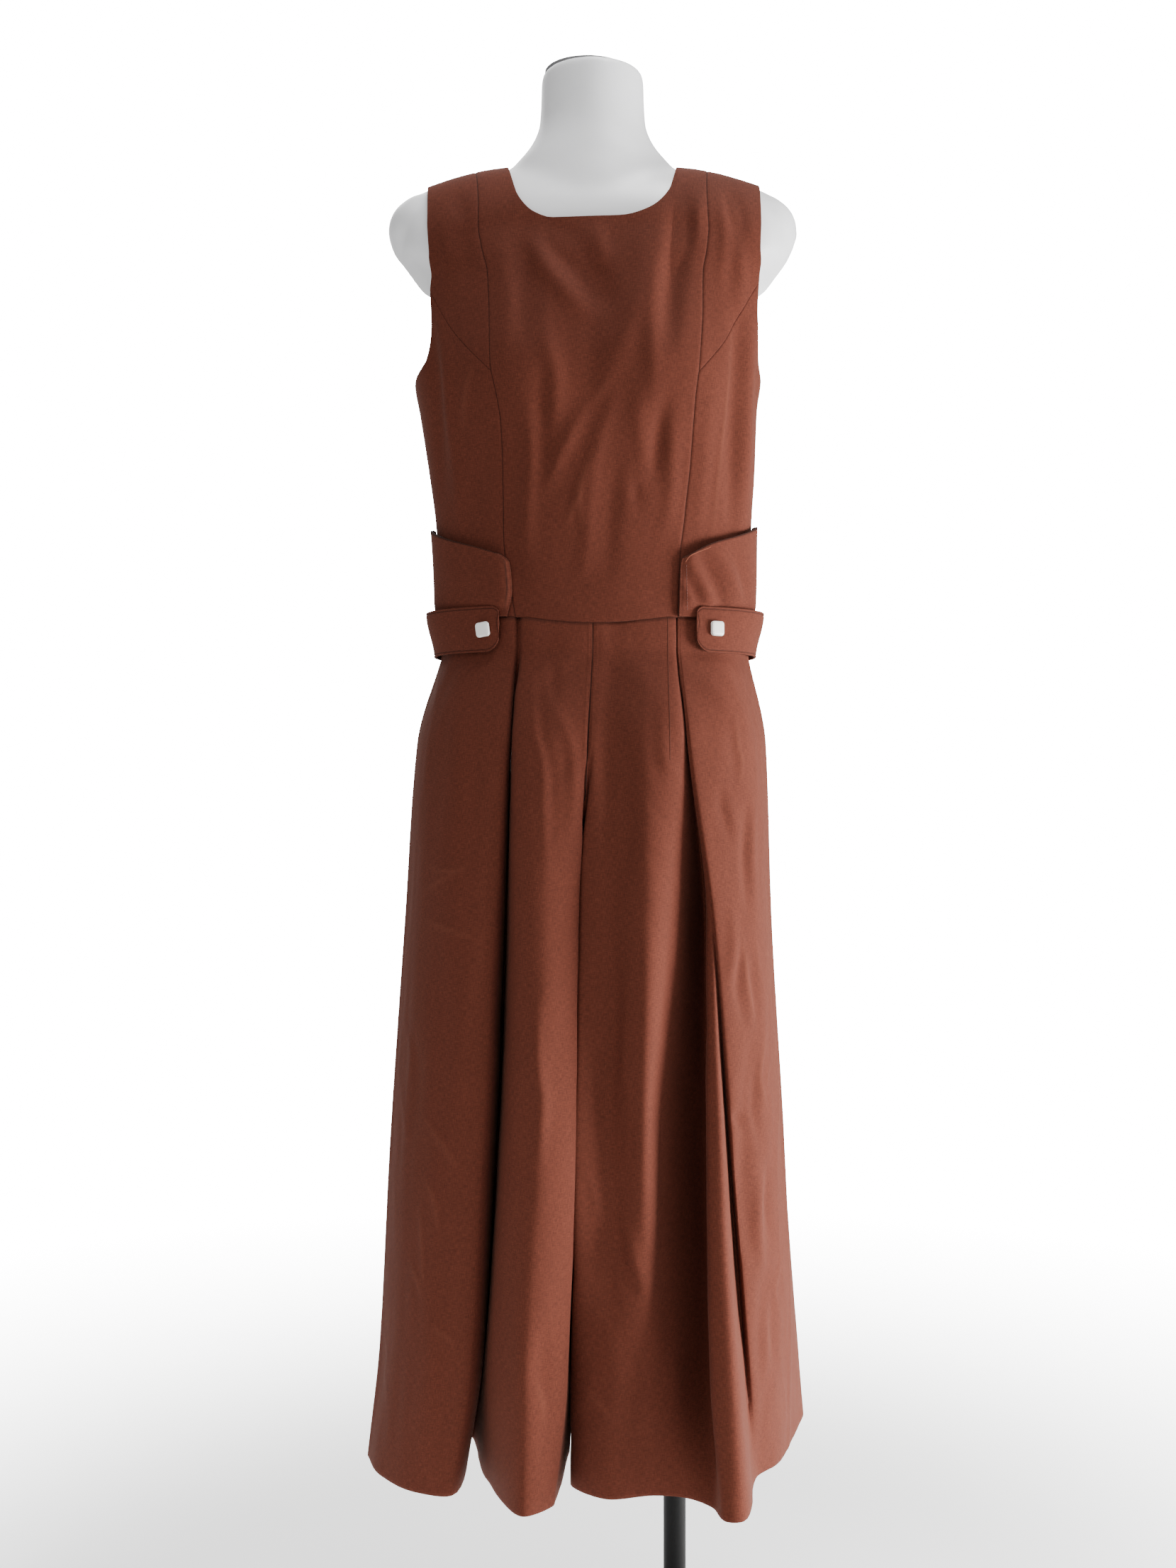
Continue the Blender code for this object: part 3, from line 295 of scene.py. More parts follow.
@dataclass(frozen=True)
class PaintedMetal:
    """Painted or powder-coated metal: a fine orange-peel skin over steel or zinc."""

    name: str
    colour: str
    worn: str
    roughness: float
    metallic: float
    grain: float
    gloss: float = 0.5
    peel: float = 0.05 * MM

    def build(self) -> Material:
        """Make the material."""
        made, shader = new_material(self.name, {
            "Roughness": self.roughness, "Metallic": self.metallic,
            "Specular IOR Level": self.gloss})
        dapple(made, shader, (linear(self.colour), linear(self.worn)), self.grain, 2.0,
               (0.25, self.peel))
        return made


@dataclass(frozen=True)
class TwistedThread:
    """Spun or drawn thread: a plain colour with a soft lustre, and painted shade for its twist,
    mottled at random.
    """

    name: str
    colour: str
    roughness: float = 0.6
    twist: float = 0.8 * MM
    shaded: float = 0.8

    def build(self) -> Material:
        """Make the material."""
        made, shader = new_material(self.name, {
            "Roughness": self.roughness, "Sheen Weight": 0.2, "Specular IOR Level": 0.3})
        plain = linear(self.colour)
        # A darker copy of the colour: painted shade for the twist, mixed in by the noise.
        dark = (*(self.shaded * channel for channel in plain[:3]), 1.0)
        dapple(made, shader, (plain, dark), self.twist, 1.0)
        return made


@dataclass(frozen=True)
class PaintedFloor:
    """Matt white studio floor, slightly uneven in tone, that fades out into the white."""

    name: str = "matt white studio floor"
    colour: str = "#F6F6F5"
    scuffed: str = "#F0F0EF"
    cloud: float = 1.25
    fade: tuple[float, float] = (0.5, 2.5)
    glow: float = 0.9

    def build(self) -> Material:
        """Make the material, which is clear beyond the end of its fade."""
        made, shader = new_material(self.name, {
            "Roughness": 0.9, "Specular IOR Level": 0.1,
            "Emission Color": linear("#FFFFFF"), "Emission Strength": self.glow})
        dapple(made, shader, (linear(self.colour), linear(self.scuffed)), self.cloud, 2.0)
        tree = made.node_tree
        place = add_node(tree, "TexCoord").outputs["Object"]
        away = add_node(tree, "VectorMath", {"operation": "LENGTH"}, {0: place})
        fade = add_node(tree, "MapRange", {"interpolation_type": "SMOOTHSTEP",
                                           "From Min": self.fade[0], "From Max": self.fade[1],
                                           "To Min": 1.0, "To Max": 0.0},
                        {"Value": away.outputs["Value"]})
        tree.links.new(fade.outputs["Result"], shader.inputs["Alpha"])
        return made


@dataclass(frozen=True)
class Finishes:
    """Every material of the object, built once."""

    linen: Material
    thread: Material
    pearl: Material
    satin_white: Material
    grey_cap: Material
    black_steel: Material
    zip_coil: Material
    zip_metal: Material
    floor: Material

    @classmethod
    def build(cls) -> "Finishes":
        """Build them all."""
        return cls(
            linen=LinenWeave().build(),
            # Spun polyester in the cloth's colour: its lustre sets it off from the weave.
            thread=TwistedThread("brown sewing thread", "#5A2A1E").build(),
            # Cast polyester, polished: warm white, with a clear hard gloss over it.
            pearl=MouldedPlastic("pearl polyester button", "#FBF9F5", "#F3EEE6", 0.2,
                                 3.0 * MM, coat=0.6).build(),
            # Moulded plastic with a satin skin: wide soft highlights on a cool white.
            satin_white=MouldedPlastic("satin white moulded plastic", "#F2F2F3", "#ECECED",
                                       0.36, 12.0 * MM).build(),
            # Moulded plastic, dull: an even mid grey with hardly a highlight.
            grey_cap=MouldedPlastic("grey moulded cap", "#7C7C7E", "#6E6E70", 0.5,
                                    4.0 * MM).build(),
            # Powder-coated steel: a flat black whose fine peel breaks up the gloss.
            black_steel=PaintedMetal("black powder-coated steel", "#0A0A0A", "#101010", 0.5,
                                     0.0, 0.6 * MM, gloss=0.15).build(),
            # Drawn nylon: smoother than sewing thread, so the coil glints a little.
            zip_coil=TwistedThread("brown nylon zip coil", "#5A2C20", 0.42).build(),
            # Painted zinc casting: brown with a low metallic sheen.
            zip_metal=PaintedMetal("brown painted zinc", "#5C3226", "#6B3D2E", 0.35, 0.6,
                                   0.5 * MM).build(),
            floor=PaintedFloor().build(),
        )


# ---- curves
def monotone(knots: Sequence[float], values: Sequence[float], at: Grid | float) -> Grid:
    """Read a monotone cubic through rising knots, level beyond both ends.

    Args:
        knots: Rising places of the values.
        values: The values there.
        at: Where to read the curve.

    Returns:
        The curve's values, shaped as at.
    """
    knot, value = np.asarray(knots, float), np.asarray(values, float)
    where = np.clip(np.asarray(at, float), knot[0], knot[-1])
    slope = np.diff(value) / np.diff(knot)
    tangent = np.empty_like(value)
    tangent[0], tangent[-1] = slope[0], slope[-1]
    before, after = slope[:-1], slope[1:]
    rising = before * after > 0
    tangent[1:-1] = np.where(rising, 2 * before * after / np.where(rising, before + after, 1), 0)
    i = np.clip(np.searchsorted(knot, where, side="right") - 1, 0, len(knot) - 2)
    width = knot[i + 1] - knot[i]
    t = (where - knot[i]) / width
    flat = value[i] + (value[i + 1] - value[i]) * t * t * (3 - 2 * t)
    return flat + t * (1 - t) * width * ((1 - t) * tangent[i] - t * tangent[i + 1])


def ease(t: Grid | float) -> Grid:
    """Rise from 0 to 1 with level ends."""
    t = np.clip(t, 0.0, 1.0)
    return t * t * (3 - 2 * t)


def catmull(points: Grid, steps: Sequence[int]) -> Grid:
    """Run a centripetal Catmull-Rom curve through points.

    Args:
        points: The points along their last axis but one, with any axes before it.
        steps: Steps of each span, from one point to the next.

    Returns:
        The points of the curve, along the same axis.
    """
    first = 2 * points[..., :1, :] - points[..., 1:2, :]
    last = 2 * points[..., -1:, :] - points[..., -2:-1, :]
    padded = np.concatenate([first, points, last], axis=-2)
    rows = [points[..., :1, :]]
    for k, count in enumerate(steps):
        a, b, c, d = (padded[..., k + i:k + i + 1, :] for i in range(4))
        k1 = np.sqrt(np.linalg.norm(b - a, axis=-1, keepdims=True)) + 1e-9
        k2 = k1 + np.sqrt(np.linalg.norm(c - b, axis=-1, keepdims=True)) + 1e-9
        k3 = k2 + np.sqrt(np.linalg.norm(d - c, axis=-1, keepdims=True)) + 1e-9
        t = k1 + (k2 - k1) * (np.arange(1, count + 1) / count)[:, None]
        ab, bc = a + (b - a) * t / k1, b + (c - b) * (t - k1) / (k2 - k1)
        cd = c + (d - c) * (t - k2) / (k3 - k2)
        left = ab + (bc - ab) * t / k2
        right = bc + (cd - bc) * (t - k1) / (k3 - k1)
        rows.append(left + (right - left) * (t - k1) / (k2 - k1))
    return np.concatenate(rows, axis=-2)


def lattice(i: Grid, j: Grid, seed: float) -> Grid:
    """Give each lattice point a fixed value from 0 to 1."""
    value = np.sin(i * 127.1 + j * 311.7 + seed * 74.7) * 43758.5453
    return value - np.floor(value)


def ripple(u: Grid, v: Grid, seed: float) -> Grid:
    """Smooth noise from -1 to 1 over two lengths measured in its own cells.

    Args:
        u: First coordinate, in cells.
        v: Second coordinate, in cells.
        seed: Picks the pattern.

    Returns:
        The noise at each place.
    """
    i, j = np.floor(u), np.floor(v)
    s, t = u - i, v - j
    s, t = s**3 * (s * (6 * s - 15) + 10), t**3 * (t * (6 * t - 15) + 10)
    low = lattice(i, j, seed) * (1 - s) + lattice(i + 1, j, seed) * s
    high = lattice(i, j + 1, seed) * (1 - s) + lattice(i + 1, j + 1, seed) * s
    return 2 * (low * (1 - t) + high * t) - 1


# ---- creases
WEAR_AND_HIGHLIGHT = 0.18  # how pale the line of a pressed crease is, from 0 to 1: its wear with painted highlight
WORN_HIGHLIGHT_WIDTH = 0.5  # half-width of that line, as a share of the crease's own
CREASE_REACH = 3.2  # half-widths beyond which a crease is left out
CREASE_STEPS = 5  # straight steps between two points of its line
TAPER_START, TAPER_POWER = 0.06, 0.8  # how far along a sine its ends lie, and its fullness
ALL_SPANS = (-1.0, 99.0)  # the lobe of a crease that crosses every fold span


@dataclass(frozen=True)
class Crease:
    """One fold of the cloth, placed on a panel seen square on.

    Attributes:
        course: Points (across, up) that its line passes through, in millimetres.
        height: How far it stands out of the cloth, or in when negative, in millimetres.
        width: Half its width, in millimetres.
        profile: Its shape across the line.
        lobe: The fold spans, first and last, that it keeps to on a trouser panel.
    """

    course: Points
    height: float
    width: float
    profile: Profile = Profile.SOFT
    lobe: tuple[float, float] = ALL_SPANS

    def relief(self, across: Grid, up: Grid, span: Grid) -> tuple[Grid, Grid]:
        """How far it moves each point outwards, and how pale its line is, from wear with painted
        highlight.

        Args:
            across: The points' places across the panel.
            up: Their heights.
            span: Their fold spans.

        Returns:
            The distances outwards, in metres, and the wear with painted highlight, from 0 to 1.
        """
        path = catmull(np.array(self.course, float) * MM,
                       [CREASE_STEPS] * (len(self.course) - 1))
        width = self.width * MM
        reach = CREASE_REACH * width
        low, high = path.min(axis=0) - reach, path.max(axis=0) + reach
        near = ((across > low[0]) & (across < high[0]) & (up > low[1]) & (up < high[1])
                & (span >= self.lobe[0]) & (span <= self.lobe[1]))
        out, worn = np.zeros_like(across), np.zeros_like(across)
        if not near.any():
            return out, worn
        place = np.stack([across[near], up[near]], axis=-1)[:, None, :]
        start, run = path[:-1], np.diff(path, axis=0)
        size = (run**2).sum(axis=-1)
        share = np.clip(((place - start) * run).sum(axis=-1) / size, 0, 1)
        away = place - (start + share[..., None] * run)
        square = (away**2).sum(axis=-1)
        best = square.argmin(axis=1)
        pick = np.arange(len(best))
        reached = np.concatenate([[0], np.cumsum(np.sqrt(size))])
        along = (reached[best] + share[pick, best] * np.sqrt(size[best])) / reached[-1]
        distance = np.sqrt(square[pick, best]) / width
        phase = np.clip(TAPER_START + (1 - 2 * TAPER_START) * along, 0, 1)
        taper = np.sin(math.pi * phase) ** TAPER_POWER
        if self.profile is Profile.PRESSED:
            shape = np.exp(-1.6 * np.sqrt(distance**2 + 0.02))
            # Pale line along a pressed crease: wear with painted highlight.
            worn[near] = WEAR_AND_HIGHLIGHT * taper * np.exp(-(distance / WORN_HIGHLIGHT_WIDTH) ** 2)
        else:
            shape = np.exp(-distance**2)
        out[near] = self.height * MM * taper * shape
        return out, worn


def creases(*rows: tuple[float, ...], profile: Profile = Profile.SOFT,
            lobe: tuple[float, float] = ALL_SPANS) -> tuple[Crease, ...]:
    """Creases of one profile and lobe.

    Args:
        rows: For each, its height and half-width and then the places across and up of each
            point that its line passes through, in millimetres.
        profile: Their shape across the line.
        lobe: The fold spans that they keep to.

    Returns:
        The creases.
    """
    return tuple(Crease(tuple(zip(row[2::2], row[3::2])), row[0], row[1], profile, lobe)
                 for row in rows)


def crumple(folds: Iterable[Crease], across: Grid, up: Grid,
            span: Grid | None = None) -> tuple[Grid, Grid]:
    """Relief of several creases together, and the wear with painted highlight along their pressed
    lines.
    """
    relief, worn = np.zeros_like(across), np.zeros_like(across)
    span = np.zeros_like(across) if span is None else span
    for crease in folds:
        moved, worn_and_highlight = crease.relief(across, up, span)
        relief, worn = relief + moved, np.maximum(worn, worn_and_highlight)
    return relief, worn


@dataclass(frozen=True)
class Rumple:
    """The cloth's own fine unevenness, longer along the grain than across it."""

    height: float = 0.55 * MM
    across: float = 24 * MM
    along: float = 70 * MM
    seed: float = 1.0
    finer: tuple[float, float] = (2.3, 2.1)
    finer_share: float = 0.45

    def relief(self, u: Grid, v: Grid) -> Grid:
        """How far it moves each point outwards, from the lengths along the cloth."""
        broad = ripple(u / self.across, v / self.along, self.seed)
        fine = ripple(self.finer[0] * u / self.across + 5, self.finer[1] * v / self.along + 3,
                      self.seed + 7)
        return self.height * (broad + self.finer_share * fine)


# ---- shells of cloth
@dataclass(frozen=True)
class Edges:
    """How deep each edge of a panel dips into its seam, in the order of its grid, and the shade
    painted along it.
    """

    bottom: float = 0.3 * MM
    top: float = 0.6 * MM
    start: float = 0.6 * MM
    end: float = 0.6 * MM
    width: float = 0.9 * MM
    swell: float = 0.28
    # line, darkest and full_depth shape the painted shade along a seam: its half-width, its
    # greatest strength and the dip that gives that strength.
    line: float = 0.35 * MM
    darkest: float = 0.85
    full_depth: float = 0.7 * MM

    def dip(self, grid: Grid) -> tuple[Grid, Grid]:
        """Shape a panel's edges.

        Args:
            grid: The panel's points.

        Returns:
            How far each point lies in, and the painted shade along its seam, darker where the edge
            dips deeper.
        """
        up, across = lengths(grid)
        deep, dark = np.zeros(grid.shape[:2]), np.zeros(grid.shape[:2])
        for depth, away in ((self.bottom, up), (self.top, up[-1] - up), (self.start, across),
                            (self.end, across[:, -1:] - across)):
            valley = depth * np.exp(-(away / self.width) ** 2)
            swell = self.swell * depth * np.exp(-((away - 4 * self.width) / self.width) ** 2)
            deep = np.maximum(deep, valley) - swell
            # Painted shade in the seam groove, darker the deeper the edge dips.
            if depth > 0:
                shade = min(self.darkest, depth / self.full_depth)
                dark = np.maximum(dark, shade * np.exp(-(away / self.line) ** 2))
        return deep, dark


def length_along(points: Grid) -> Grid:
    """Length along a line of points to each of them."""
    steps = np.linalg.norm(np.diff(points, axis=0), axis=-1)
    return np.concatenate([[0.0], np.cumsum(steps)])


def lengths(grid: Grid) -> tuple[Grid, Grid]:
    """Lengths up and across a grid of points, from its first row and column."""
    rows = np.linalg.norm(np.diff(grid, axis=0), axis=-1)
    columns = np.linalg.norm(np.diff(grid, axis=1), axis=-1)
    up = np.concatenate([np.zeros((1, grid.shape[1])), np.cumsum(rows, axis=0)])
    across = np.concatenate([np.zeros((grid.shape[0], 1)), np.cumsum(columns, axis=1)], axis=1)
    return up, across


CROWD = (0.0, 0.13, 0.36)  # places of the added lines, as shares of the last step


def crowd_ends(values: Grid, axis: int) -> Grid:
    """Add lines of points close to both ends of a grid, where it turns into its seams."""
    lines = np.moveaxis(values, axis, 0)
    low = [lines[:1] + (lines[1:2] - lines[:1]) * share for share in CROWD]
    high = [lines[-1:] + (lines[-2:-1] - lines[-1:]) * share for share in CROWD[::-1]]
    return np.moveaxis(np.concatenate([*low, lines[1:-1], *high]), 0, axis)


def grid_normals(grid: Grid) -> Grid:
    """Unit normals of a grid of points, right-handed from its rows to its columns."""
    along = np.gradient(grid, axis=1)
    up = np.gradient(grid, axis=0)
    normal = np.cross(along, up)
    return normal / np.maximum(np.linalg.norm(normal, axis=-1, keepdims=True), 1e-12)


def weave_map(grid: Grid, crests: Sequence[int] = ()) -> Grid:
    """Lengths across the cloth, so that the grain runs along its folds, and its height.

    Args:
        grid: The panel's points.
        crests: Columns that the grain runs along, the middle one if there are none.

    Returns:
        For each point its length across the grain and along it, in metres.
    """
    run = lengths(grid)[1]
    straight = np.array(crests or (grid.shape[1] // 2,))
    nearest = straight[np.abs(np.arange(grid.shape[1])[:, None] - straight).argmin(axis=1)]
    return np.stack([run - run[:, nearest] + run[0, nearest], grid[..., 2]], axis=-1)


@dataclass
class Shell:
    """A thin closed wall of cloth on a grid of points, with rolled edges.

    Attributes:
        name: The piece's name.
        grid: Outer points, rows from low to high.
        normals: Outward directions.
        wall: Thickness of the cloth.
        weave: Lengths along the cloth, for its pattern.
        groove: How far the middle of the edge lies in, negative where it bulges out.
        seam: Painted shade at each point along its seams, or where below 0 the pale crease line of
            wear with painted highlight.
    """

    name: str
    grid: Grid
    normals: Grid
    wall: float | Grid
    weave: Grid
    groove: float = -0.4 * MM
    seam: Grid | None = None

    def build(self, finish: Material) -> Object:
        """Make the object."""
        rows, columns = self.grid.shape[:2]
        inner = self.grid - self.normals * self.wall
        rim = ([(0, j) for j in range(columns)] + [(i, columns - 1) for i in range(1, rows)]
               + [(rows - 1, j) for j in range(columns - 2, -1, -1)]
               + [(i, 0) for i in range(rows - 2, 0, -1)])
        rim_index = np.array(rim)
        i, j = rim_index[:, 0], rim_index[:, 1]
        middle = (self.grid[i, j] + inner[i, j]) / 2
        inward = self.grid[np.clip(i, 1, rows - 2), np.clip(j, 1, columns - 2)] - self.grid[i, j]
        size = np.linalg.norm(inward, axis=-1, keepdims=True)
        middle = middle + inward / np.maximum(size, 1e-9) * self.groove
        points = np.concatenate([self.grid.reshape(-1, 3), inner.reshape(-1, 3), middle])
        index = np.arange(rows * columns).reshape(rows, columns)
        quads = np.stack([index[:-1, :-1], index[:-1, 1:], index[1:, 1:], index[1:, :-1]],
                         axis=-1).reshape(-1, 4)
        outer_rim = index[i, j]
        inner_rim = outer_rim + rows * columns
        middle_rim = 2 * rows * columns + np.arange(len(rim))
        later = np.roll(np.arange(len(rim)), -1)
        walls = [np.stack([a[later], a, b, b[later]], axis=-1)
                 for a, b in ((outer_rim, middle_rim), (middle_rim, inner_rim))]
        faces = np.concatenate([quads, quads[:, ::-1] + rows * columns, *walls])
        weave = np.concatenate([self.weave.reshape(-1, 2)] * 2 + [self.weave[i, j]])
        if signed_volume(points, faces) < 0:
            faces = faces[:, ::-1]
        seam = None
        if self.seam is not None:
            seam = np.concatenate([np.tile(self.seam.ravel(), 2), self.seam[i, j]])
        return make_mesh(self.name, points, faces, finish, weave, seam)


def signed_volume(points: Grid, faces: Grid) -> float:
    """Volume inside a closed mesh of quads, negative where it is inside out."""
    a, b, c, d = (points[faces[:, k]] for k in range(4))
    volume = np.einsum("ij,ij->", a, np.cross(b, c)) + np.einsum("ij,ij->", a, np.cross(c, d))
    return float(volume) / 6


def ring_faces(rings: int, sides: int) -> Grid:
    """Point numbers of the quads between closed rings of points."""
    index = np.arange(rings * sides).reshape(rings, sides)
    later = np.roll(index, -1, axis=1)
    return np.stack([index[:-1], later[:-1], later[1:], index[1:]], axis=-1).reshape(-1, 4)


def add_piece(name: str, mesh: bpy.types.Mesh) -> Object:
    """Add an object for a mesh, at the origin."""
    made = bpy.data.objects.new(name, mesh)
    bpy.context.scene.collection.objects.link(made)
    return made


def coat(piece: Object, finish: Material) -> Object:
    """Give a piece one finish, in place of any that it has."""
    piece.data.materials.clear()
    piece.data.materials.append(finish)
    return piece


def bevel_edges(piece: Object, chosen: Callable[[bmesh.types.BMEdge], bool],
                width: float, segments: int) -> None:
    """Round the edges of a piece in edit mode that a test picks.

    Args:
        piece: The piece.
        chosen: The test.
        width: Width of the bevel.
        segments: Its steps.
    """
    bpy.ops.mesh.select_all(action="DESELECT")
    shape = bmesh.from_edit_mesh(piece.data)
    for edge in shape.edges:
        edge.select_set(chosen(edge))
    bmesh.update_edit_mesh(piece.data)
    bpy.ops.mesh.bevel(offset=width, segments=segments, affect="EDGES")


def make_mesh(name: str, points: Grid, faces: Grid, finish: Material,
              weave: Grid, seam: Grid | None = None) -> Object:
    """Make an object from points and faces.

    Args:
        name: The piece's name.
        points: Its points.
        faces: Point numbers of each face.
        finish: Its material.
        weave: UV places of the points, in metres.
        seam: Painted shade at each point along its seams, or where below 0 the pale crease line of
            wear with painted highlight.

    Returns:
        The object, at the origin.
    """
    mesh = bpy.data.meshes.new(name)
    mesh.from_pydata(points.tolist(), [], faces.tolist())
    layer = mesh.uv_layers.new(name="weave")
    corner = np.empty(len(mesh.loops), np.int32)
    mesh.loops.foreach_get("vertex_index", corner)
    layer.data.foreach_set("uv", weave[corner].astype(np.float32).ravel())
    if seam is not None:
        mesh.attributes.new("seam", "FLOAT", "POINT").data.foreach_set(
            "value", seam.astype(np.float32))
    mesh.shade_smooth()
    mesh.update()
    return coat(add_piece(name, mesh), finish)


@dataclass(frozen=True)
class Cut:
    """The flat cut of a piece of cloth: its width, length and share of that rectangle."""

    width: float
    length: float
    share: float = 1.0


def hang(piece: Object, nodes: Iterable[str], cut: Cut | None = None,
         rests_on: Sequence[str] = ("form_torso",)) -> None:
    """Say what a piece rides on and stands for, and log its faces.

    Args:
        piece: The piece.
        nodes: The solids that it replaces.
        cut: The flat cut, where the piece is a sheet. Not used.
        rests_on: What the sheet lies on. Not used.
    """
    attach(piece, "garment")
    for node in nodes:
        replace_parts(piece, node)
    LOG.info("%s: %d faces", piece.name, len(piece.data.polygons))


# ---- the body surface
WAIST, BELT_LOW, BELT_HIGH, HEM = 1.0365, 1.0040, 1.0470, 0.2185
CLOTH, DOUBLE, SEAM_GAP = 1.2 * MM, 2.4 * MM, 0.1 * MM
QUARTER = math.pi / 2  # the angle of the side seams
ZIP_HALF = 0.0022  # from the middle of the back to each edge beside the zip


@dataclass(frozen=True)
class BodySurface:
    """The surface that the bodice lies on, and the form inside it.

    A place on it is (angle, level): -90 degrees at the right side seam, 0 at the centre and
    90 at the left. Level is the height, run evenly round the roll of the shoulder.
    """

    exponent: float = 2.3
    roll: float = 0.075
    radius: float = 0.13
    heights: tuple[float, ...] = (0.890, 1.004, 1.0365, 1.080, 1.130, 1.180, 1.240, 1.275,
                                  1.315, 1.360, 1.381, 1.407, 1.490)
    right: tuple[float, ...] = (0.158, 0.150, 0.1495, 0.1505, 0.1535, 0.160, 0.1694, 0.1752,
                                0.176, 0.183, 0.195, 0.204, 0.2045)
    left: tuple[float, ...] = (0.162, 0.1545, 0.1545, 0.1555, 0.156, 0.159, 0.1612, 0.166,
                               0.173, 0.185, 0.198, 0.208, 0.2085)
    front: tuple[float, ...] = (0.108, 0.099, 0.098, 0.099, 0.103, 0.108, 0.113, 0.114, 0.112,
                                0.106, 0.102, 0.096, 0.084)
    back: tuple[float, ...] = (0.114, 0.099, 0.098, 0.100, 0.104, 0.109, 0.113, 0.115, 0.115,
                               0.112, 0.109, 0.104, 0.088)
    shoulder_share: tuple[float, ...] = (0.0, 0.41, 0.79, 0.91, 1.0)
    shoulder_height: tuple[float, ...] = (1.488, 1.4835, 1.467, 1.452, 1.420)
    bust: tuple[float, float, float, float] = (0.088, 1.268, 0.062, 0.012)
    shoulder_foot: float = 1.40
    waist_blend: float = 0.04
    ease_heights: tuple[float, ...] = (0.890, 1.036, 1.270, 1.357, 1.381, 1.420)
    ease_side: tuple[float, ...] = (0.016, 0.005, 0.014, 0.024, 0.0, 0.0)
    ease_depth: tuple[float, ...] = (0.008, 0.005, 0.006, 0.004, 0.001, 0.0)

    def half_width(self, angle: Grid, level: Grid) -> Grid:
        """Half-width of the body on the side that the angle is on."""
        return np.where(np.asarray(angle) > 0, monotone(self.heights, self.left, level),
                        monotone(self.heights, self.right, level))

    def top(self, share: Grid) -> Grid:
        """Height of the shoulder line at a share of the half-width."""
        return monotone(self.shoulder_share, self.shoulder_height, share)

    def point(self, side: Side, angle: Grid, level: Grid, narrow: Grid | float = 0.0,
              shallow: Grid | float = 0.0) -> Grid:
        """Points of the body.

        Args:
            side: Front or back.
            angle: Angles of the places.
            level: Their levels.
            narrow: How much narrower than the cloth.
            shallow: How much shallower.

        Returns:
            The points, with one more axis than the places.
        """
        angle, level = np.asarray(angle, float), np.asarray(level, float)
        share = np.abs(np.sin(angle)) ** (2 / self.exponent)
        deep = np.abs(np.cos(angle)) ** (2 / self.exponent)
        x = np.sign(angle) * share * (self.half_width(angle, level) - narrow)
        top = self.top(share)
        turn = np.clip((top - level) / self.roll, 0, 1) * math.pi / 2
        z = np.where(level < top - self.roll, level, top - self.roll * (1 - np.cos(turn)))
        table = self.front if side is Side.FRONT else self.back
        y = deep * (monotone(self.heights, table, level) - shallow) * np.sin(turn)
        if side is Side.FRONT:
            bust_x, bust_z, reach, rise = self.bust
            off = ((np.abs(x) - bust_x) ** 2 + (z - bust_z) ** 2) / reach**2
            y = y + rise * deep * np.exp(-off)
        return np.stack([x, side.value * y, z], axis=-1)

    def weave(self, side: Side, places: Grid, height: Grid) -> Grid:
        """Lengths round the body and up it, for cloth that lies on it with its grain upright."""
        turns = np.linspace(-QUARTER, QUARTER, 181)
        ring = self.point(side, turns, np.full_like(turns, WAIST))
        run = np.interp(places[..., 0], turns, length_along(ring))
        return np.stack([run, height], axis=-1)

    def normal(self, side: Side, angle: Grid, level: Grid) -> Grid:
        """Outward directions there, level at the waist so that pieces meet squarely."""
        angle, level = np.asarray(angle, float), np.asarray(level, float)
        turn, rise = 1e-3, 1e-4
        along = (self.point(side, np.minimum(angle + turn, QUARTER), level)
                 - self.point(side, np.maximum(angle - turn, -QUARTER), level))
        here = self.point(side, angle, level)
        up = here - self.point(side, angle, level - rise)
        normal = np.cross(along, up)
        outward = here * np.array([1.0, 1.0, 0.0])
        outward[..., 2] = np.maximum(0.0, here[..., 2] - self.shoulder_foot)
        flip = np.sign((normal * outward).sum(axis=-1, keepdims=True))
        normal = normal * np.where(flip == 0, 1, flip)
        normal /= np.linalg.norm(normal, axis=-1, keepdims=True)
        normal[..., 1] = np.where(np.abs(angle) > QUARTER - turn / 2, 0.0, normal[..., 1])
        normal[..., 2] *= ease((level - WAIST) / self.waist_blend)
        return normal / np.linalg.norm(normal, axis=-1, keepdims=True)

    def place_of(self, x: float, z: float | None) -> tuple[float, float]:
        """Find the place of the body point seen at x and z; z None is the shoulder line."""
        level = z if z is not None else self.shoulder_height[0]
        share = 0.0
        for _ in range(6):
            share = min(abs(x) / float(self.half_width(x, level)), 1.0)
            top = float(self.top(share))
            if z is None:
                level = top
            elif z > top - self.roll:
                rolled = max(1 - (top - z) / self.roll, -1.0)
                level = top - self.roll * math.acos(rolled) * 2 / math.pi
            else:
                level = z
        return math.copysign(math.asin(share ** (self.exponent / 2)), x), level

    def edge(self, points: Sequence[tuple[float, float | None]], steps: int,
             roll_steps: int = 0, crowd: bool = False) -> Grid:
        """Places along a seam given as (x, z) points.

        Args:
            points: The seam's points as seen from the front.
            steps: Steps along it, up to the roll of the shoulder.
            roll_steps: Steps in the roll.
            crowd: Whether the steps are shorter towards both ends.

        Returns:
            The places, one in each row.
        """
        places = np.array([self.place_of(*point) for point in points])
        share = np.linspace(0, 1, steps + 1)
        if crowd:
            share = np.sin(math.pi / 2 * share) ** 2
        if roll_steps:
            low, high = places[0, 1], places[-1, 1]
            bend = (high - self.roll - low) / (high - low)
            share = np.concatenate([np.linspace(0, bend, steps + 1)[:-1],
                                    np.linspace(bend, 1, roll_steps + 1)])
        return self.through(places, share, bool(roll_steps))

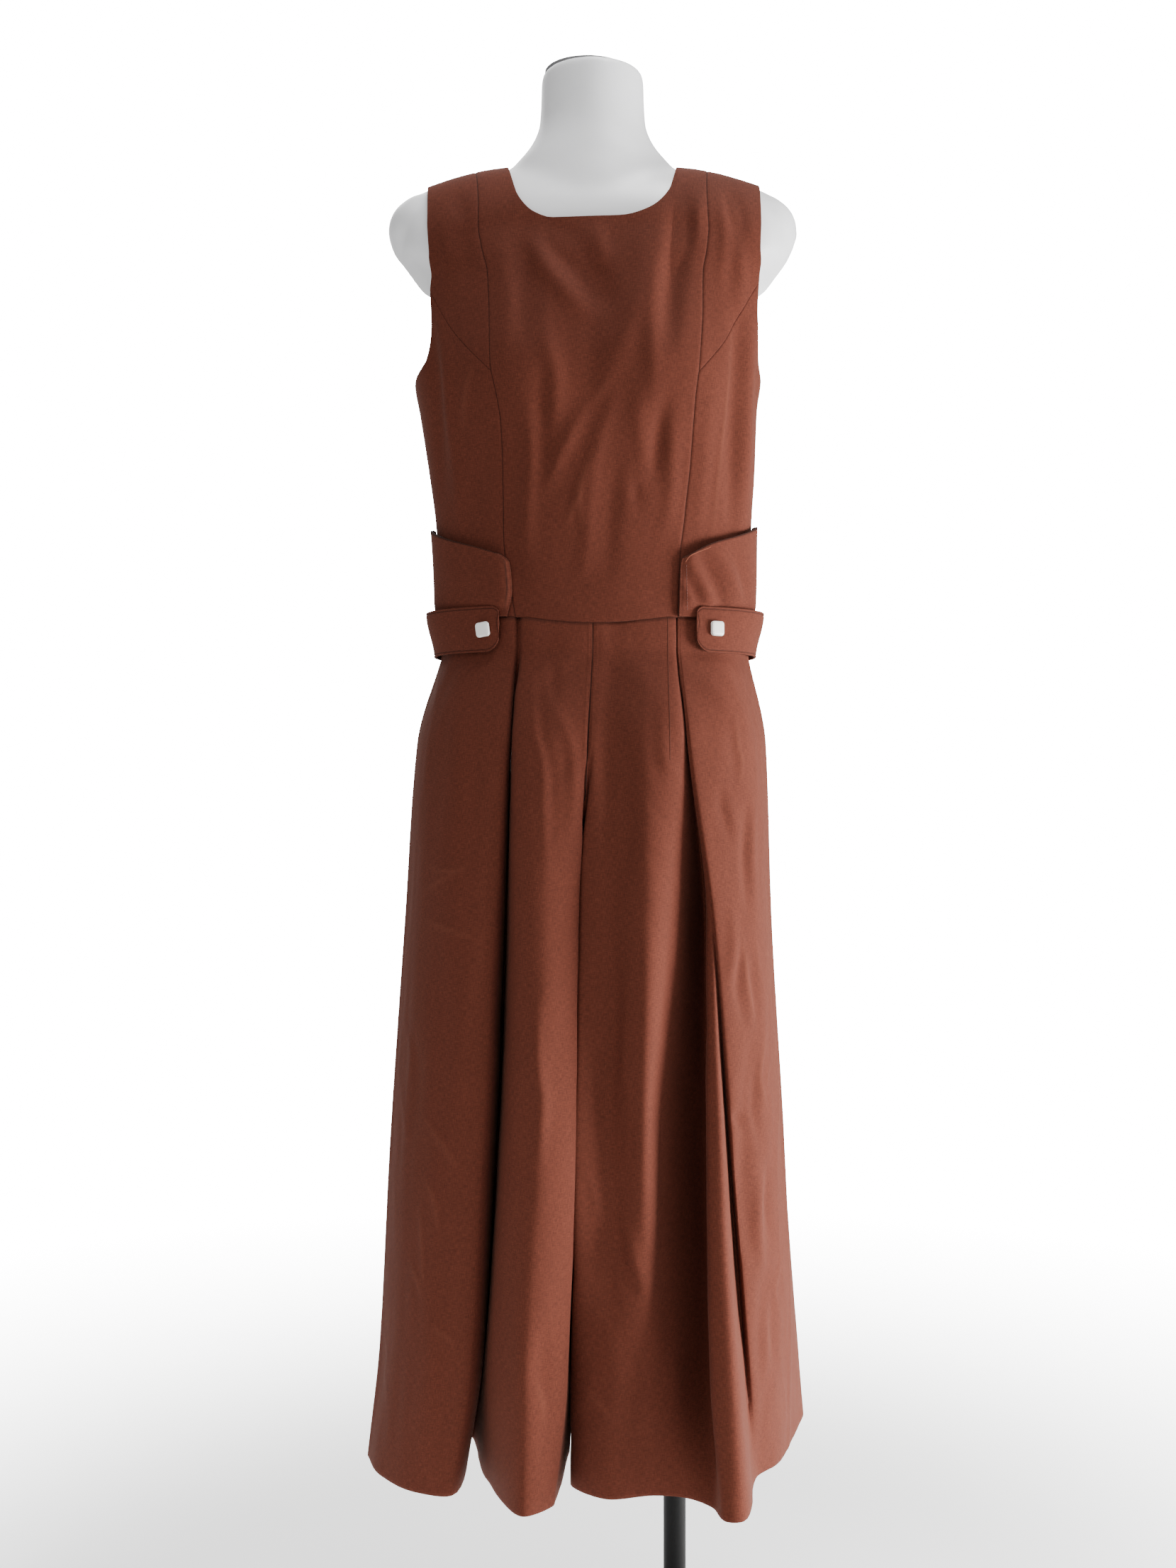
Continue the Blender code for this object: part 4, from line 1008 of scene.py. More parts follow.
    def through(self, places: Grid, share: Grid, rising: bool) -> Grid:
        """Places at shares of a smooth curve's rise, or else of its length on the body."""
        run = np.diff(places, axis=0)
        length = run[:, 1] if rising else np.hypot(run[:, 0] * self.radius, run[:, 1])
        knots = np.concatenate([[0.0], np.cumsum(length)])
        return np.stack([monotone(knots, places[:, k], share * knots[-1]) for k in (0, 1)],
                        axis=-1)

    def waist_edge(self, start: float, end: float, steps: int, side: Side) -> Grid:
        """Places along the waist seam between two angles."""
        angle = np.linspace(start, end, steps + 1)
        x = self.point(Side.FRONT, angle, WAIST)[:, 0]
        drop = waist_drop(x) if side is Side.FRONT else np.zeros_like(x)
        return np.stack([angle, WAIST - drop], axis=-1)


def waist_drop(x: Grid, deepest: float = 6 * MM, reach: float = 0.085) -> Grid:
    """How far the waist seam lies below its height at the sides, in front."""
    return deepest * np.maximum(0.0, 1 - (x / reach) ** 2) ** 2


def patch(bottom: Grid, top: Grid, start: Grid, end: Grid) -> Grid:
    """Fill four edges with a Coons patch of places."""
    u = np.linspace(0, 1, len(bottom))[None, :, None]
    v = np.linspace(0, 1, len(start))[:, None, None]
    ruled = (1 - v) * bottom[None] + v * top[None] + (1 - u) * start[:, None]
    corners = ((1 - v) * ((1 - u) * bottom[0] + u * bottom[-1])
               + v * ((1 - u) * top[0] + u * top[-1]))
    return ruled + u * end[:, None] - corners


BODY = BodySurface()


# ---- bodice
# Each row of creases: height, half-width, then across and up of each point, in millimetres.
FRONT_CREASES: tuple[Crease, ...] = (
    *creases(
        (3.04, 11, -87, 1386, -79, 1318, -88, 1267), (-3.42, 11, -64, 1412, -61, 1349, -65, 1300),
        (3.8, 10, -61, 1392, -45, 1362, -26, 1338, -6.6, 1316),
        (-6.46, 15, -42, 1401, -20, 1375, 1.3, 1347, 17, 1313),
        (4.18, 14, 50, 1405, 44, 1346, 28, 1293, 9.2, 1250),
        (1.9, 6, 4, 1400, 6.6, 1382, 9.2, 1359), (-1.33, 4, 15, 1400, 20, 1378),
        (2.66, 9, 65, 1412, 59, 1357, 54, 1306, 57, 1240),
        (-4.94, 10, 86, 1437, 82, 1392, 75, 1349, 70, 1293), (2.28, 6, 98, 1437, 98, 1386),
        (2.47, 9, -42, 1297, -35, 1251, -38, 1212), (-2.28, 9, -45, 1261, -47, 1212, -42, 1173),
        (2.66, 8, -59, 1226, -57, 1192, -61, 1147, -64, 1095),
        (2.09, 7, -2.6, 1235, -18, 1208, -33, 1180, -43, 1154),
        (2.09, 7, 20, 1240, 6.6, 1201, -1.3, 1161, -6.6, 1082),
        (-1.71, 8, 24, 1188, 17, 1135, 15, 1082), (-1.14, 5, 39, 1161, 41, 1140),
        (-2.66, 8, 68, 1239, 62, 1206, 57, 1167), (2.09, 8, 74, 1213, 73, 1152, 67, 1114),
        (1.9, 9, 45, 1249, 43, 1213, 50, 1173), (-1.52, 8, -79, 1148, -75, 1102, -66, 1062),
        (-1.9, 6, -130, 1440, -126, 1425, -121, 1415),
        (1.52, 7, -139, 1415, -137, 1375, -138, 1342), (-1.14, 7, -120, 1402, -118, 1349),
        (3.04, 6, -147, 1328, -139, 1277, -135, 1226, -129, 1179, -125, 1119),
        (-3.8, 7, -157, 1330, -150, 1276, -147, 1222, -143, 1154),
        (-1.14, 8, -106, 1203, -109, 1136), (-3.04, 9, 129, 1442, 136, 1417, 140, 1397),
        (2.28, 7, 139, 1388, 140, 1358, 138, 1332), (1.71, 6, 122, 1428, 124, 1389, 120, 1349),
        (-4.56, 8, 137, 1320, 135, 1246, 133, 1179, 131, 1124),
        (6.84, 8, 151, 1317, 146, 1264, 144, 1203, 144, 1128),
        (1.71, 8, 109, 1255, 105, 1188, 99, 1122)),
    *creases(
        (2.05, 5.4, 0, 1188, -11, 1160, -13, 1140, -9.2, 1118), (1.37, 4.8, -12, 1155, -24, 1122),
        (1.37, 4.8, 14, 1253, 2.6, 1233), (1.6, 4.8, -112, 1268, -118, 1248, -122, 1216),
        (1.25, 3.1, 131, 1309, 128, 1257, 123, 1210, 117, 1157, 113, 1108),
        profile=Profile.PRESSED),
)
BACK_CREASES: tuple[Crease, ...] = (
    *creases(
        (2.08, 14, -96, 1333, -77, 1267, -70, 1188), (2.34, 15, 98, 1326, 75, 1254, 69, 1188),
        (-1.82, 10, -63, 1188, -50, 1135, -24, 1102), (-1.69, 10, 62, 1174, 46, 1128, 22, 1098),
        (1.43, 8, -124, 1243, -97, 1209, -90, 1163), (1.3, 8, 129, 1243, 102, 1203, 92, 1150),
        (-1.17, 12, -24, 1372, -30, 1306, -24, 1240), (-1.3, 12, 29, 1359, 32, 1293, 26, 1214),
        (-1.56, 8, -151, 1222, -132, 1168, -132, 1100),
        (-1.56, 8, 151, 1222, 135, 1161, 138, 1094)),
    *creases(
        (1.25, 4.8, -130, 1136, -97, 1110, -60, 1096), (1.25, 4.8, 135, 1126, 99, 1103, 62, 1093),
        profile=Profile.PRESSED),
)


@dataclass
class Bodice:
    """The seven panels of the bodice: five in front, two behind with the zip between."""

    princess_right_low: Points = ((-0.0728, WAIST), (-0.0839, 1.1083), (-0.0857, 1.2164),
                                  (-0.0945, 1.2627))
    princess_right_high: tuple = ((-0.0945, 1.2627), (-0.0967, 1.3163), (-0.1077, 1.4137),
                                  (-0.1166, None))
    princess_left_low: Points = ((0.0801, WAIST), (0.0817, 1.0909), (0.0867, 1.1336),
                                 (0.0985, 1.2627))
    princess_left_high: tuple = ((0.0985, 1.2627), (0.1018, 1.3044), (0.1080, 1.4336),
                                 (0.1134, None))
    bust_seam_right: Points = ((-0.0945, 1.2627), (-0.1359, 1.3129), (-0.1550, 1.3485))
    bust_seam_left: Points = ((0.0985, 1.2627), (0.1245, 1.2964), (0.1352, 1.3162),
                              (0.1584, 1.3574))
    arm_right_low: Points = ((-0.1550, 1.3485), (-0.1600, 1.2850), (-0.1752, 1.2685))
    arm_right_high: tuple = ((-0.1550, 1.3485), (-0.1575, 1.4100), (-0.1622, None))
    arm_left_low: Points = ((0.1584, 1.3574), (0.1600, 1.2850), (0.1656, 1.2685))
    arm_left_high: tuple = ((0.1584, 1.3574), (0.1600, 1.4100), (0.1630, None))
    neck_front: tuple = ((-0.0865, None), (-0.0723, 1.4384), (-0.0560, 1.4165),
                         (-0.0330, 1.4098), (0.0303, 1.4120), (0.0570, 1.4225),
                         (0.0739, 1.4458), (0.0850, None))
    back_arm_right: tuple = ((-0.1752, 1.2685), (-0.1560, 1.3100), (-0.1520, 1.4000),
                             (-0.1622, None))
    back_arm_left: tuple = ((0.1656, 1.2685), (0.1560, 1.3100), (0.1530, 1.4000),
                            (0.1630, None))
    neck_back: Points = ((0.55, 1.4420), (0.92, 1.4640))
    neck_back_depth: float = 1.4340
    armpit: float = 1.2685
    low_steps: int = 76
    high_steps: int = 34
    roll_steps: int = 26
    neck_steps: int = 96
    shoulder_in: int = 9
    seam_steps: int = 26
    arm_steps: int = 14
    rumple: Rumple = Rumple(0.45 * MM, 26 * MM, 60 * MM, 3.0)
    calm_waist: float = 0.03
    calm_side: float = 0.12
    spare: float = 1.5 * MM
    ease_used: float = 0.7

    def build(self, finishes: Finishes) -> None:
        """Make every panel."""
        self.make_front(finishes)
        self.make_back(finishes)

    def princess(self, low: Points, high: tuple) -> tuple[Grid, Grid]:
        """Places of a princess seam below the bust seam, and from there to the shoulder."""
        return (BODY.edge(low, self.low_steps),
                BODY.edge(high, self.high_steps, self.roll_steps))

    def side_seam(self, hand: Hand) -> Grid:
        """Places of a side seam from the waist to the armpit."""
        level = np.linspace(WAIST, self.armpit, self.low_steps + 1)
        return np.stack([np.full_like(level, hand.value * QUARTER), level], axis=-1)

    def make_front(self, finishes: Finishes) -> None:
        """Make the centre panel, and on each hand a shoulder and a side panel."""
        right_low, right_high = self.princess(self.princess_right_low, self.princess_right_high)
        left_low, left_high = self.princess(self.princess_left_low, self.princess_left_high)
        neck = BODY.edge(self.neck_front, self.neck_steps, crowd=True)
        ends = (BODY.edge((self.princess_right_high[-1], self.neck_front[0]), self.shoulder_in),
                BODY.edge((self.neck_front[-1], self.princess_left_high[-1]), self.shoulder_in))
        top = np.concatenate([ends[0][:-1], neck, ends[1][1:]])
        bottom = BODY.waist_edge(right_low[0, 0], left_low[0, 0], len(top) - 1, Side.FRONT)
        places = patch(bottom, top, np.concatenate([right_low, right_high[1:]]),
                       np.concatenate([left_low, left_high[1:]]))
        self.panel("front_centre", Side.FRONT, places, finishes, Edges(top=0.0))
        hands = (
            (Hand.RIGHT, right_low, right_high, self.bust_seam_right, self.arm_right_low,
             self.arm_right_high, self.princess_right_high),
            (Hand.LEFT, left_low, left_high, self.bust_seam_left, self.arm_left_low,
             self.arm_left_high, self.princess_left_high),
        )
        for hand, low, high, seam, arm_low, arm_high, shoulder in hands:
            word = hand.name.lower()
            bust = BODY.edge(seam, self.seam_steps)
            top = BODY.edge((shoulder[-1], arm_high[-1]), self.seam_steps)
            arm = BODY.edge(arm_high, self.high_steps, self.roll_steps)
            self.panel(f"front_shoulder_{word}", Side.FRONT, patch(bust, top, high, arm),
                       finishes, Edges(end=0.0))
            top = np.concatenate([bust, BODY.edge(arm_low, self.arm_steps)[1:]])
            bottom = BODY.waist_edge(low[0, 0], hand.value * QUARTER, len(top) - 1,
                                     Side.FRONT)
            self.panel(f"front_side_{word}", Side.FRONT,
                       patch(bottom, top, low, self.side_seam(hand)), finishes, Edges())

    def make_back(self, finishes: Finishes) -> None:
        """Make the two back panels, either side of the zip."""
        hands = (
            (Hand.RIGHT, self.back_arm_right, self.neck_front[0], self.princess_right_high),
            (Hand.LEFT, self.back_arm_left, self.neck_front[-1], self.princess_left_high),
        )
        for hand, armhole, neck_point, shoulder in hands:
            zip_x = hand.value * ZIP_HALF
            curve = ((zip_x, self.neck_back_depth),
                     *((share * neck_point[0], height) for share, height in self.neck_back),
                     neck_point)
            top = np.concatenate([
                BODY.edge(curve, self.neck_steps // 2),
                BODY.edge((neck_point, shoulder[-1]), self.shoulder_in)[1:],
                BODY.edge((shoulder[-1], armhole[-1]), self.seam_steps)[1:],
            ])
            end = np.concatenate([self.side_seam(hand),
                                  BODY.edge(armhole, self.high_steps, self.roll_steps)[1:]])
            share = (end[:, 1] - WAIST) / (end[-1, 1] - WAIST)
            start = np.array([BODY.place_of(zip_x, WAIST + s * (self.neck_back_depth - WAIST))
                              for s in share])
            bottom = BODY.waist_edge(start[0, 0], hand.value * QUARTER, len(top) - 1,
                                     Side.BACK)
            self.panel(f"back_{hand.name.lower()}", Side.BACK, patch(bottom, top, start, end),
                       finishes, Edges(top=0.0, start=0.3 * MM))

    def panel(self, name: str, side: Side, places: Grid, finishes: Finishes,
              edges: Edges) -> None:
        """Make one panel.

        Args:
            name: Its name, which is its solid's too.
            side: Front or back.
            places: Its grid of places on the body.
            finishes: The materials.
            edges: Its seams.
        """
        places = crowd_ends(crowd_ends(places, 0), 1)
        grid = BODY.point(side, places[..., 0], places[..., 1])
        normals = BODY.normal(side, places[..., 0], places[..., 1])
        x, z = grid[..., 0], grid[..., 2]
        relief, worn = crumple(FRONT_CREASES if side is Side.FRONT else BACK_CREASES, x, z)
        # worn: the pale crease lines, wear with painted highlight, kept to the front; dark:
        # painted shade along the seams.
        worn *= side is Side.FRONT
        relief += self.rumple.relief(x, z)
        relief *= (ease((z - WAIST) / self.calm_waist)
                   * ease((QUARTER - np.abs(places[..., 0])) / self.calm_side))
        room = self.spare + self.ease_used * monotone(BODY.ease_heights, BODY.ease_depth, z)
        deep, dark = edges.dip(grid)
        relief = np.maximum(relief, -room) - deep
        weave = BODY.weave(side, places, z)
        grid = grid + normals * relief[..., None]
        turned = grid_normals(grid)
        turned *= np.sign((turned * normals).sum(axis=-1, keepdims=True))
        turned[0], turned[-1] = normals[0], normals[-1]
        turned[:, 0], turned[:, -1] = normals[:, 0], normals[:, -1]
        piece = Shell(name, grid, turned, CLOTH, weave, seam=dark - worn).build(finishes.linen)
        hang(piece, [name], measure(name, grid))


def measure(name: str, grid: Grid) -> Cut:
    """Measure a panel's flat cut from its grid."""
    across = np.linalg.norm(np.diff(grid, axis=1), axis=-1).sum(axis=1).max()
    up = np.linalg.norm(np.diff(grid, axis=0), axis=-1).sum(axis=0).max()
    normal = np.cross(grid[1:, 1:] - grid[:-1, :-1], grid[1:, :-1] - grid[:-1, 1:])
    area = np.linalg.norm(normal, axis=-1).sum() / 2
    LOG.info("%s measures %.3f x %.3f, share %.2f", name, across, up, area / across / up)
    return Cut(float(across), float(up), max(0.3, min(1.0, float(area / across / up))))


# ---- flaps and belt
FLAP_UNDER, PIECE_GAP = 0.9 * MM, 0.3 * MM
FLAP_CREASES: tuple[Crease, ...] = creases(
    (-4.4, 4.4, 98, 1094, 111, 1074, 122, 1048), (3, 4, 91, 1084, 101, 1066, 110, 1046),
    (-2.6, 3.6, 86, 1073, 92, 1062, 98, 1049), (3.2, 5.5, 109, 1101, 124, 1082, 135, 1056),
    (-2.6, 4.5, 126, 1106, 137, 1084, 143, 1058), (1.1, 9, -138, 1091, -124, 1076, -98, 1071),
    (-1.1, 8, -120, 1083, -114, 1050))


@dataclass
class Flaps:
    """The bagged-out flaps that lie on the lower side-front panels, turned to the centre."""

    right_top: Points = ((-0.1530, 1.1290), (-0.1300, 1.1120), (-0.1080, 1.1040),
                         (-0.0860, 1.0960))
    right_front: Points = ((-0.0860, 1.0960), (-0.0775, 1.0870), (-0.0752, 1.0620),
                           (-0.0800, WAIST))
    left_top: Points = ((0.1555, 1.1320), (0.1300, 1.1150), (0.1092, 1.1070), (0.0825, 1.0920))
    left_front: Points = ((0.0825, 1.0920), (0.0808, 1.0830), (0.0802, 1.0600),
                          (0.0799, WAIST))
    lift: float = 3.0 * MM
    lift_reach: float = 10 * MM
    swell: float = 3.2 * MM
    right_bevel: float = 3.2 * MM
    left_bevel: float = 1.2 * MM
    bevel_width: float = 3.6 * MM
    edge_reach: float = 0.012
    side_reach: float = 0.02
    foot_reach: float = 0.018
    crease_foot: float = 0.01
    layer_width: float = 0.5 * MM
    layer_depth: float = 0.3 * MM
    top_line: float = 0.4 * MM
    line_shade: float = 0.7
    deepest: float = 0.2 * MM
    steps: tuple[int, int] = (44, 34)

    def build(self, finishes: Finishes) -> None:
        """Make both flaps."""
        self.flap(Hand.RIGHT, self.right_top, self.right_front, self.right_bevel, finishes)
        self.flap(Hand.LEFT, self.left_top, self.left_front, self.left_bevel, finishes)

    def flap(self, hand: Hand, top_points: Points, front_points: Points, bevel: float,
             finishes: Finishes) -> None:
        """Make one flap.

        Args:
            hand: The hand that it is on.
            top_points: Its top edge, from the side seam to its corner.
            front_points: Its front edge, from the corner down.
            bevel: How far its front edge is rolled in.
            finishes: The materials.
        """
        across, up = self.steps
        side_angle = hand.value * QUARTER
        foot = WAIST + 2 * PIECE_GAP
        top = BODY.edge(top_points, across, crowd=True)
        front = BODY.edge(front_points[::-1], up)
        top[0, 0] = side_angle
        side = np.stack([np.full(up + 1, side_angle), np.linspace(foot, top[0, 1], up + 1)],
                        axis=-1)
        front[0, 1] = foot
        share = np.sin(math.pi / 2 * np.linspace(0, 1, across + 1)) ** 2
        bottom = np.stack([side_angle + (front[0, 0] - side_angle) * share,
                           np.full(across + 1, foot)], axis=-1)
        places = patch(bottom, top, side, front)
        grid = BODY.point(Side.FRONT, places[..., 0], places[..., 1])
        normals = BODY.normal(Side.FRONT, places[..., 0], places[..., 1])
        x, z = grid[..., 0], grid[..., 2]
        high, run = lengths(grid)
        to_front = run[:, -1:] - run
        rolled = bevel * ease(1 - to_front / self.bevel_width)
        relief = self.lift * np.exp(-to_front / self.lift_reach) - rolled
        relief += (self.swell * ease(to_front / self.edge_reach) * ease(run / self.side_reach)
                   * ease(high / self.edge_reach))
        relief *= ease((z - foot) / self.foot_reach)
        # Painted shade along the line where the under layer shows at the front edge, and along the
        # top seam.
        layer = np.exp(-((to_front - self.bevel_width) / self.layer_width) ** 2)
        top_seam = np.exp(-((high[-1] - high) / self.top_line) ** 2)
        dark = self.line_shade * np.maximum(layer, top_seam)
        relief += crumple(FLAP_CREASES, x, z)[0] * ease((z - foot) / self.crease_foot)
        relief = np.maximum(relief, -self.deepest) - self.layer_depth * layer
        inner = grid + normals * FLAP_UNDER
        grid = grid + normals * (relief + FLAP_UNDER + DOUBLE)[..., None]
        wall = np.linalg.norm(grid - inner, axis=-1, keepdims=True)
        name = f"waist_flap_{hand.name.lower()}"
        piece = Shell(name, grid, normals, np.minimum(wall, DOUBLE),
                      BODY.weave(Side.FRONT, places, z), 0.25 * MM, dark).build(finishes.linen)
        hang(piece, [name], measure(name, grid), ["front_side_" + hand.name.lower()])


@dataclass
class Belt:
    """The double-layer belt, from one buttoned end round the back to the other."""

    right_end: float = -0.0860
    left_end: float = 0.0952
    flare: float = 0.008
    corner_low: float = 0.015
    corner_high: float = 0.007
    flare_power: tuple[int, int] = (6, 14)
    layer: float = 2.2 * MM
    line_width: float = 0.5 * MM
    line_depth: float = 0.45 * MM
    line_shade: float = 0.6
    swell: float = 0.3 * MM
    end_stations: int = 22
    end_turn: float = 0.125
    end_crowd: float = 1.6
    side_start: float = 0.14
    side_stations: int = 32
    back_stations: int = 120
    rows: tuple[float, ...] = (0.0, 0.7, 1.3, 1.8, 2.2, 2.6, 3.2, 4.2, 6.0, 9.0, 13.0, 17.0)
    under: float = FLAP_UNDER + DOUBLE + 2 * PIECE_GAP

    def point(self, side: Side, angle: Grid, height: Grid, offset: float) -> Grid:
        """Points of the belt, which stands off at its top towards the side seams."""
        rise = (height - BELT_LOW) / (BELT_HIGH - BELT_LOW)
        power = self.flare_power[side is Side.BACK]
        stand_off = self.flare * ease(rise) * np.abs(np.sin(angle)) ** power
        level = np.full_like(np.asarray(angle, float), WAIST)
        point = BODY.point(side, angle, level)
        point[..., 2] = height
        return point + BODY.normal(side, angle, level) * (offset + stand_off)[..., None]

    def build(self, finishes: Finishes) -> None:
        """Make the belt."""
        ends = [BODY.place_of(x, WAIST)[0] for x in (self.right_end, self.left_end)]
        near = self.end_turn * np.linspace(0, 1, self.end_stations) ** self.end_crowd
        to_side = np.linspace(ends[0] - self.side_start, -QUARTER, self.side_stations)
        from_side = np.linspace(QUARTER, ends[1] + self.side_start, self.side_stations)
        front_right = np.concatenate([ends[0] - near, to_side])
        back = np.linspace(-QUARTER, QUARTER, self.back_stations)[1:-1]
        front_left = np.concatenate([from_side, ends[1] + near[::-1]])
        reach = np.full(len(front_right) + len(back) + len(front_left), 1.0)
        reach[:len(near)] = near * BODY.radius
        reach[-len(near):] = near[::-1] * BODY.radius
        trims = []
        for corner in (self.corner_low, self.corner_high):
            short = np.maximum(corner - reach, 0.0)
            trims.append(corner - np.sqrt(corner**2 - short**2))
        edge = np.array(self.rows) * MM / (BELT_HIGH - BELT_LOW)
        share = np.concatenate([edge, [0.5], 1 - edge[::-1]])[None, :]
        heights = ((BELT_LOW + trims[0])[:, None] * (1 - share)
                   + (BELT_HIGH - trims[1])[:, None] * share)
        strips, start = [], 0
        for side, angle in ((Side.FRONT, front_right), (Side.BACK, back),
                            (Side.FRONT, front_left)):
            rows = heights[start:start + len(angle)]
            wide = np.repeat(angle[:, None], rows.shape[1], axis=1)
            swell = self.swell * np.sin(math.pi * share) * np.ones_like(rows)
            strips.append(self.point(side, wide, rows, self.under + DOUBLE + swell))
            start += len(angle)
        grid = np.concatenate(strips)
        normals = grid_normals(grid)
        outward = grid * np.array([1.0, 1.0, 0.0])
        normals *= np.sign((normals * outward).sum(axis=-1, keepdims=True))
        along, rise = lengths(grid)
        across, up = np.minimum(along, along[-1:] - along), np.minimum(rise, rise[:, -1:] - rise)
        middle = along[:, along.shape[1] // 2, None] * np.ones_like(along)
        weave = np.stack([middle, grid[..., 2]], axis=-1)
        # Painted shade, with a shallow groove, along a line in from each edge of the belt.
        line = np.exp(-((np.minimum(across, up) - self.layer) / self.line_width) ** 2)
        sunk = (self.line_depth * line)[..., None]
        grid = grid - normals * sunk
        piece = Shell("belt", grid, normals, DOUBLE - sunk, weave, 0.3 * MM,
                      self.line_shade * line).build(finishes.linen)
        hang(piece, ["belt"], measure("belt", grid),
             ["waist_flap_left", "waist_flap_right"])


@dataclass
class Buttons:
    """Square domed buttons on the belt's ends.

    Each step of the face gives, from the rim inwards, how far it is inset, the share that it
    is then drawn in to, and how far it rises.
    """

    size: float = 14 * MM
    rise: float = 3 * MM
    corner: float = 3.1 * MM
    rim: float = 0.7 * MM
    face: tuple[Triple, ...] = (
        (0.5 * MM, 1.0, 0.35 * MM), (0.9 * MM, 1.0, 0.40 * MM), (0.8 * MM, 1.0, 0.12 * MM),
        (0.01 * MM, 0.6, 0.10 * MM), (0.01 * MM, 0.6, 0.02 * MM))
    places: tuple[tuple[Hand, float, float], ...] = (
        (Hand.RIGHT, -0.0996, -8.0), (Hand.LEFT, 0.1129, 0.0))

    def build(self, finishes: Finishes) -> None:
        """Make both buttons."""
        for hand, x, turn in self.places:
            name = f"button_{hand.name.lower()}"
            low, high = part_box(name)
            centre = (Vector(low) + Vector(high)) / 2
            normal = BODY.normal(Side.FRONT, np.array(BODY.place_of(x, WAIST)[0]),
                                 np.array(WAIST))
            facing = math.atan2(normal[0], -normal[1])
            piece = self.button(name, finishes.pearl)
            piece.data.transform(Matrix.Translation(centre) @ Matrix.Rotation(facing, 4, "Z")
                                 @ Matrix.Rotation(math.radians(turn), 4, "Y"))
            hang(piece, [name])

    def button(self, name: str, finish: Material) -> Object:
        """Model one button at the origin, its face to -Y."""
        bpy.ops.object.select_all(action="DESELECT")
        bpy.ops.mesh.primitive_cube_add(size=1.0)
        piece = bpy.context.object
        piece.name = piece.data.name = name
        piece.scale = (self.size, self.rise, self.size)
        bpy.ops.object.transform_apply(location=False, rotation=False, scale=True)
        bpy.ops.object.mode_set(mode="EDIT")
        bevel_edges(piece, lambda edge: abs((edge.verts[0].co - edge.verts[1].co).y)
                    > self.rise / 2, self.corner, 8)
        for inset, shrink, rise in self.face:
            bpy.ops.mesh.select_all(action="DESELECT")
            shape = bmesh.from_edit_mesh(piece.data)
            front = min(shape.faces, key=lambda face: face.calc_center_median().y)
            front.select_set(True)
            bmesh.update_edit_mesh(piece.data)
            bpy.ops.mesh.inset(thickness=inset)
            bpy.ops.transform.resize(value=(shrink, 1.0, shrink), center_override=(0, 0, 0))
            bpy.ops.transform.translate(value=(0, -rise, 0))
        bpy.ops.object.mode_set(mode="OBJECT")
        round_off = piece.modifiers.new("round rim", "BEVEL")
        round_off.limit_method, round_off.angle_limit = "ANGLE", math.radians(30)
        round_off.width, round_off.segments = self.rim, 4
        bpy.ops.object.modifier_apply(modifier=round_off.name)
        bpy.ops.object.shade_smooth()
        return coat(piece, finish)


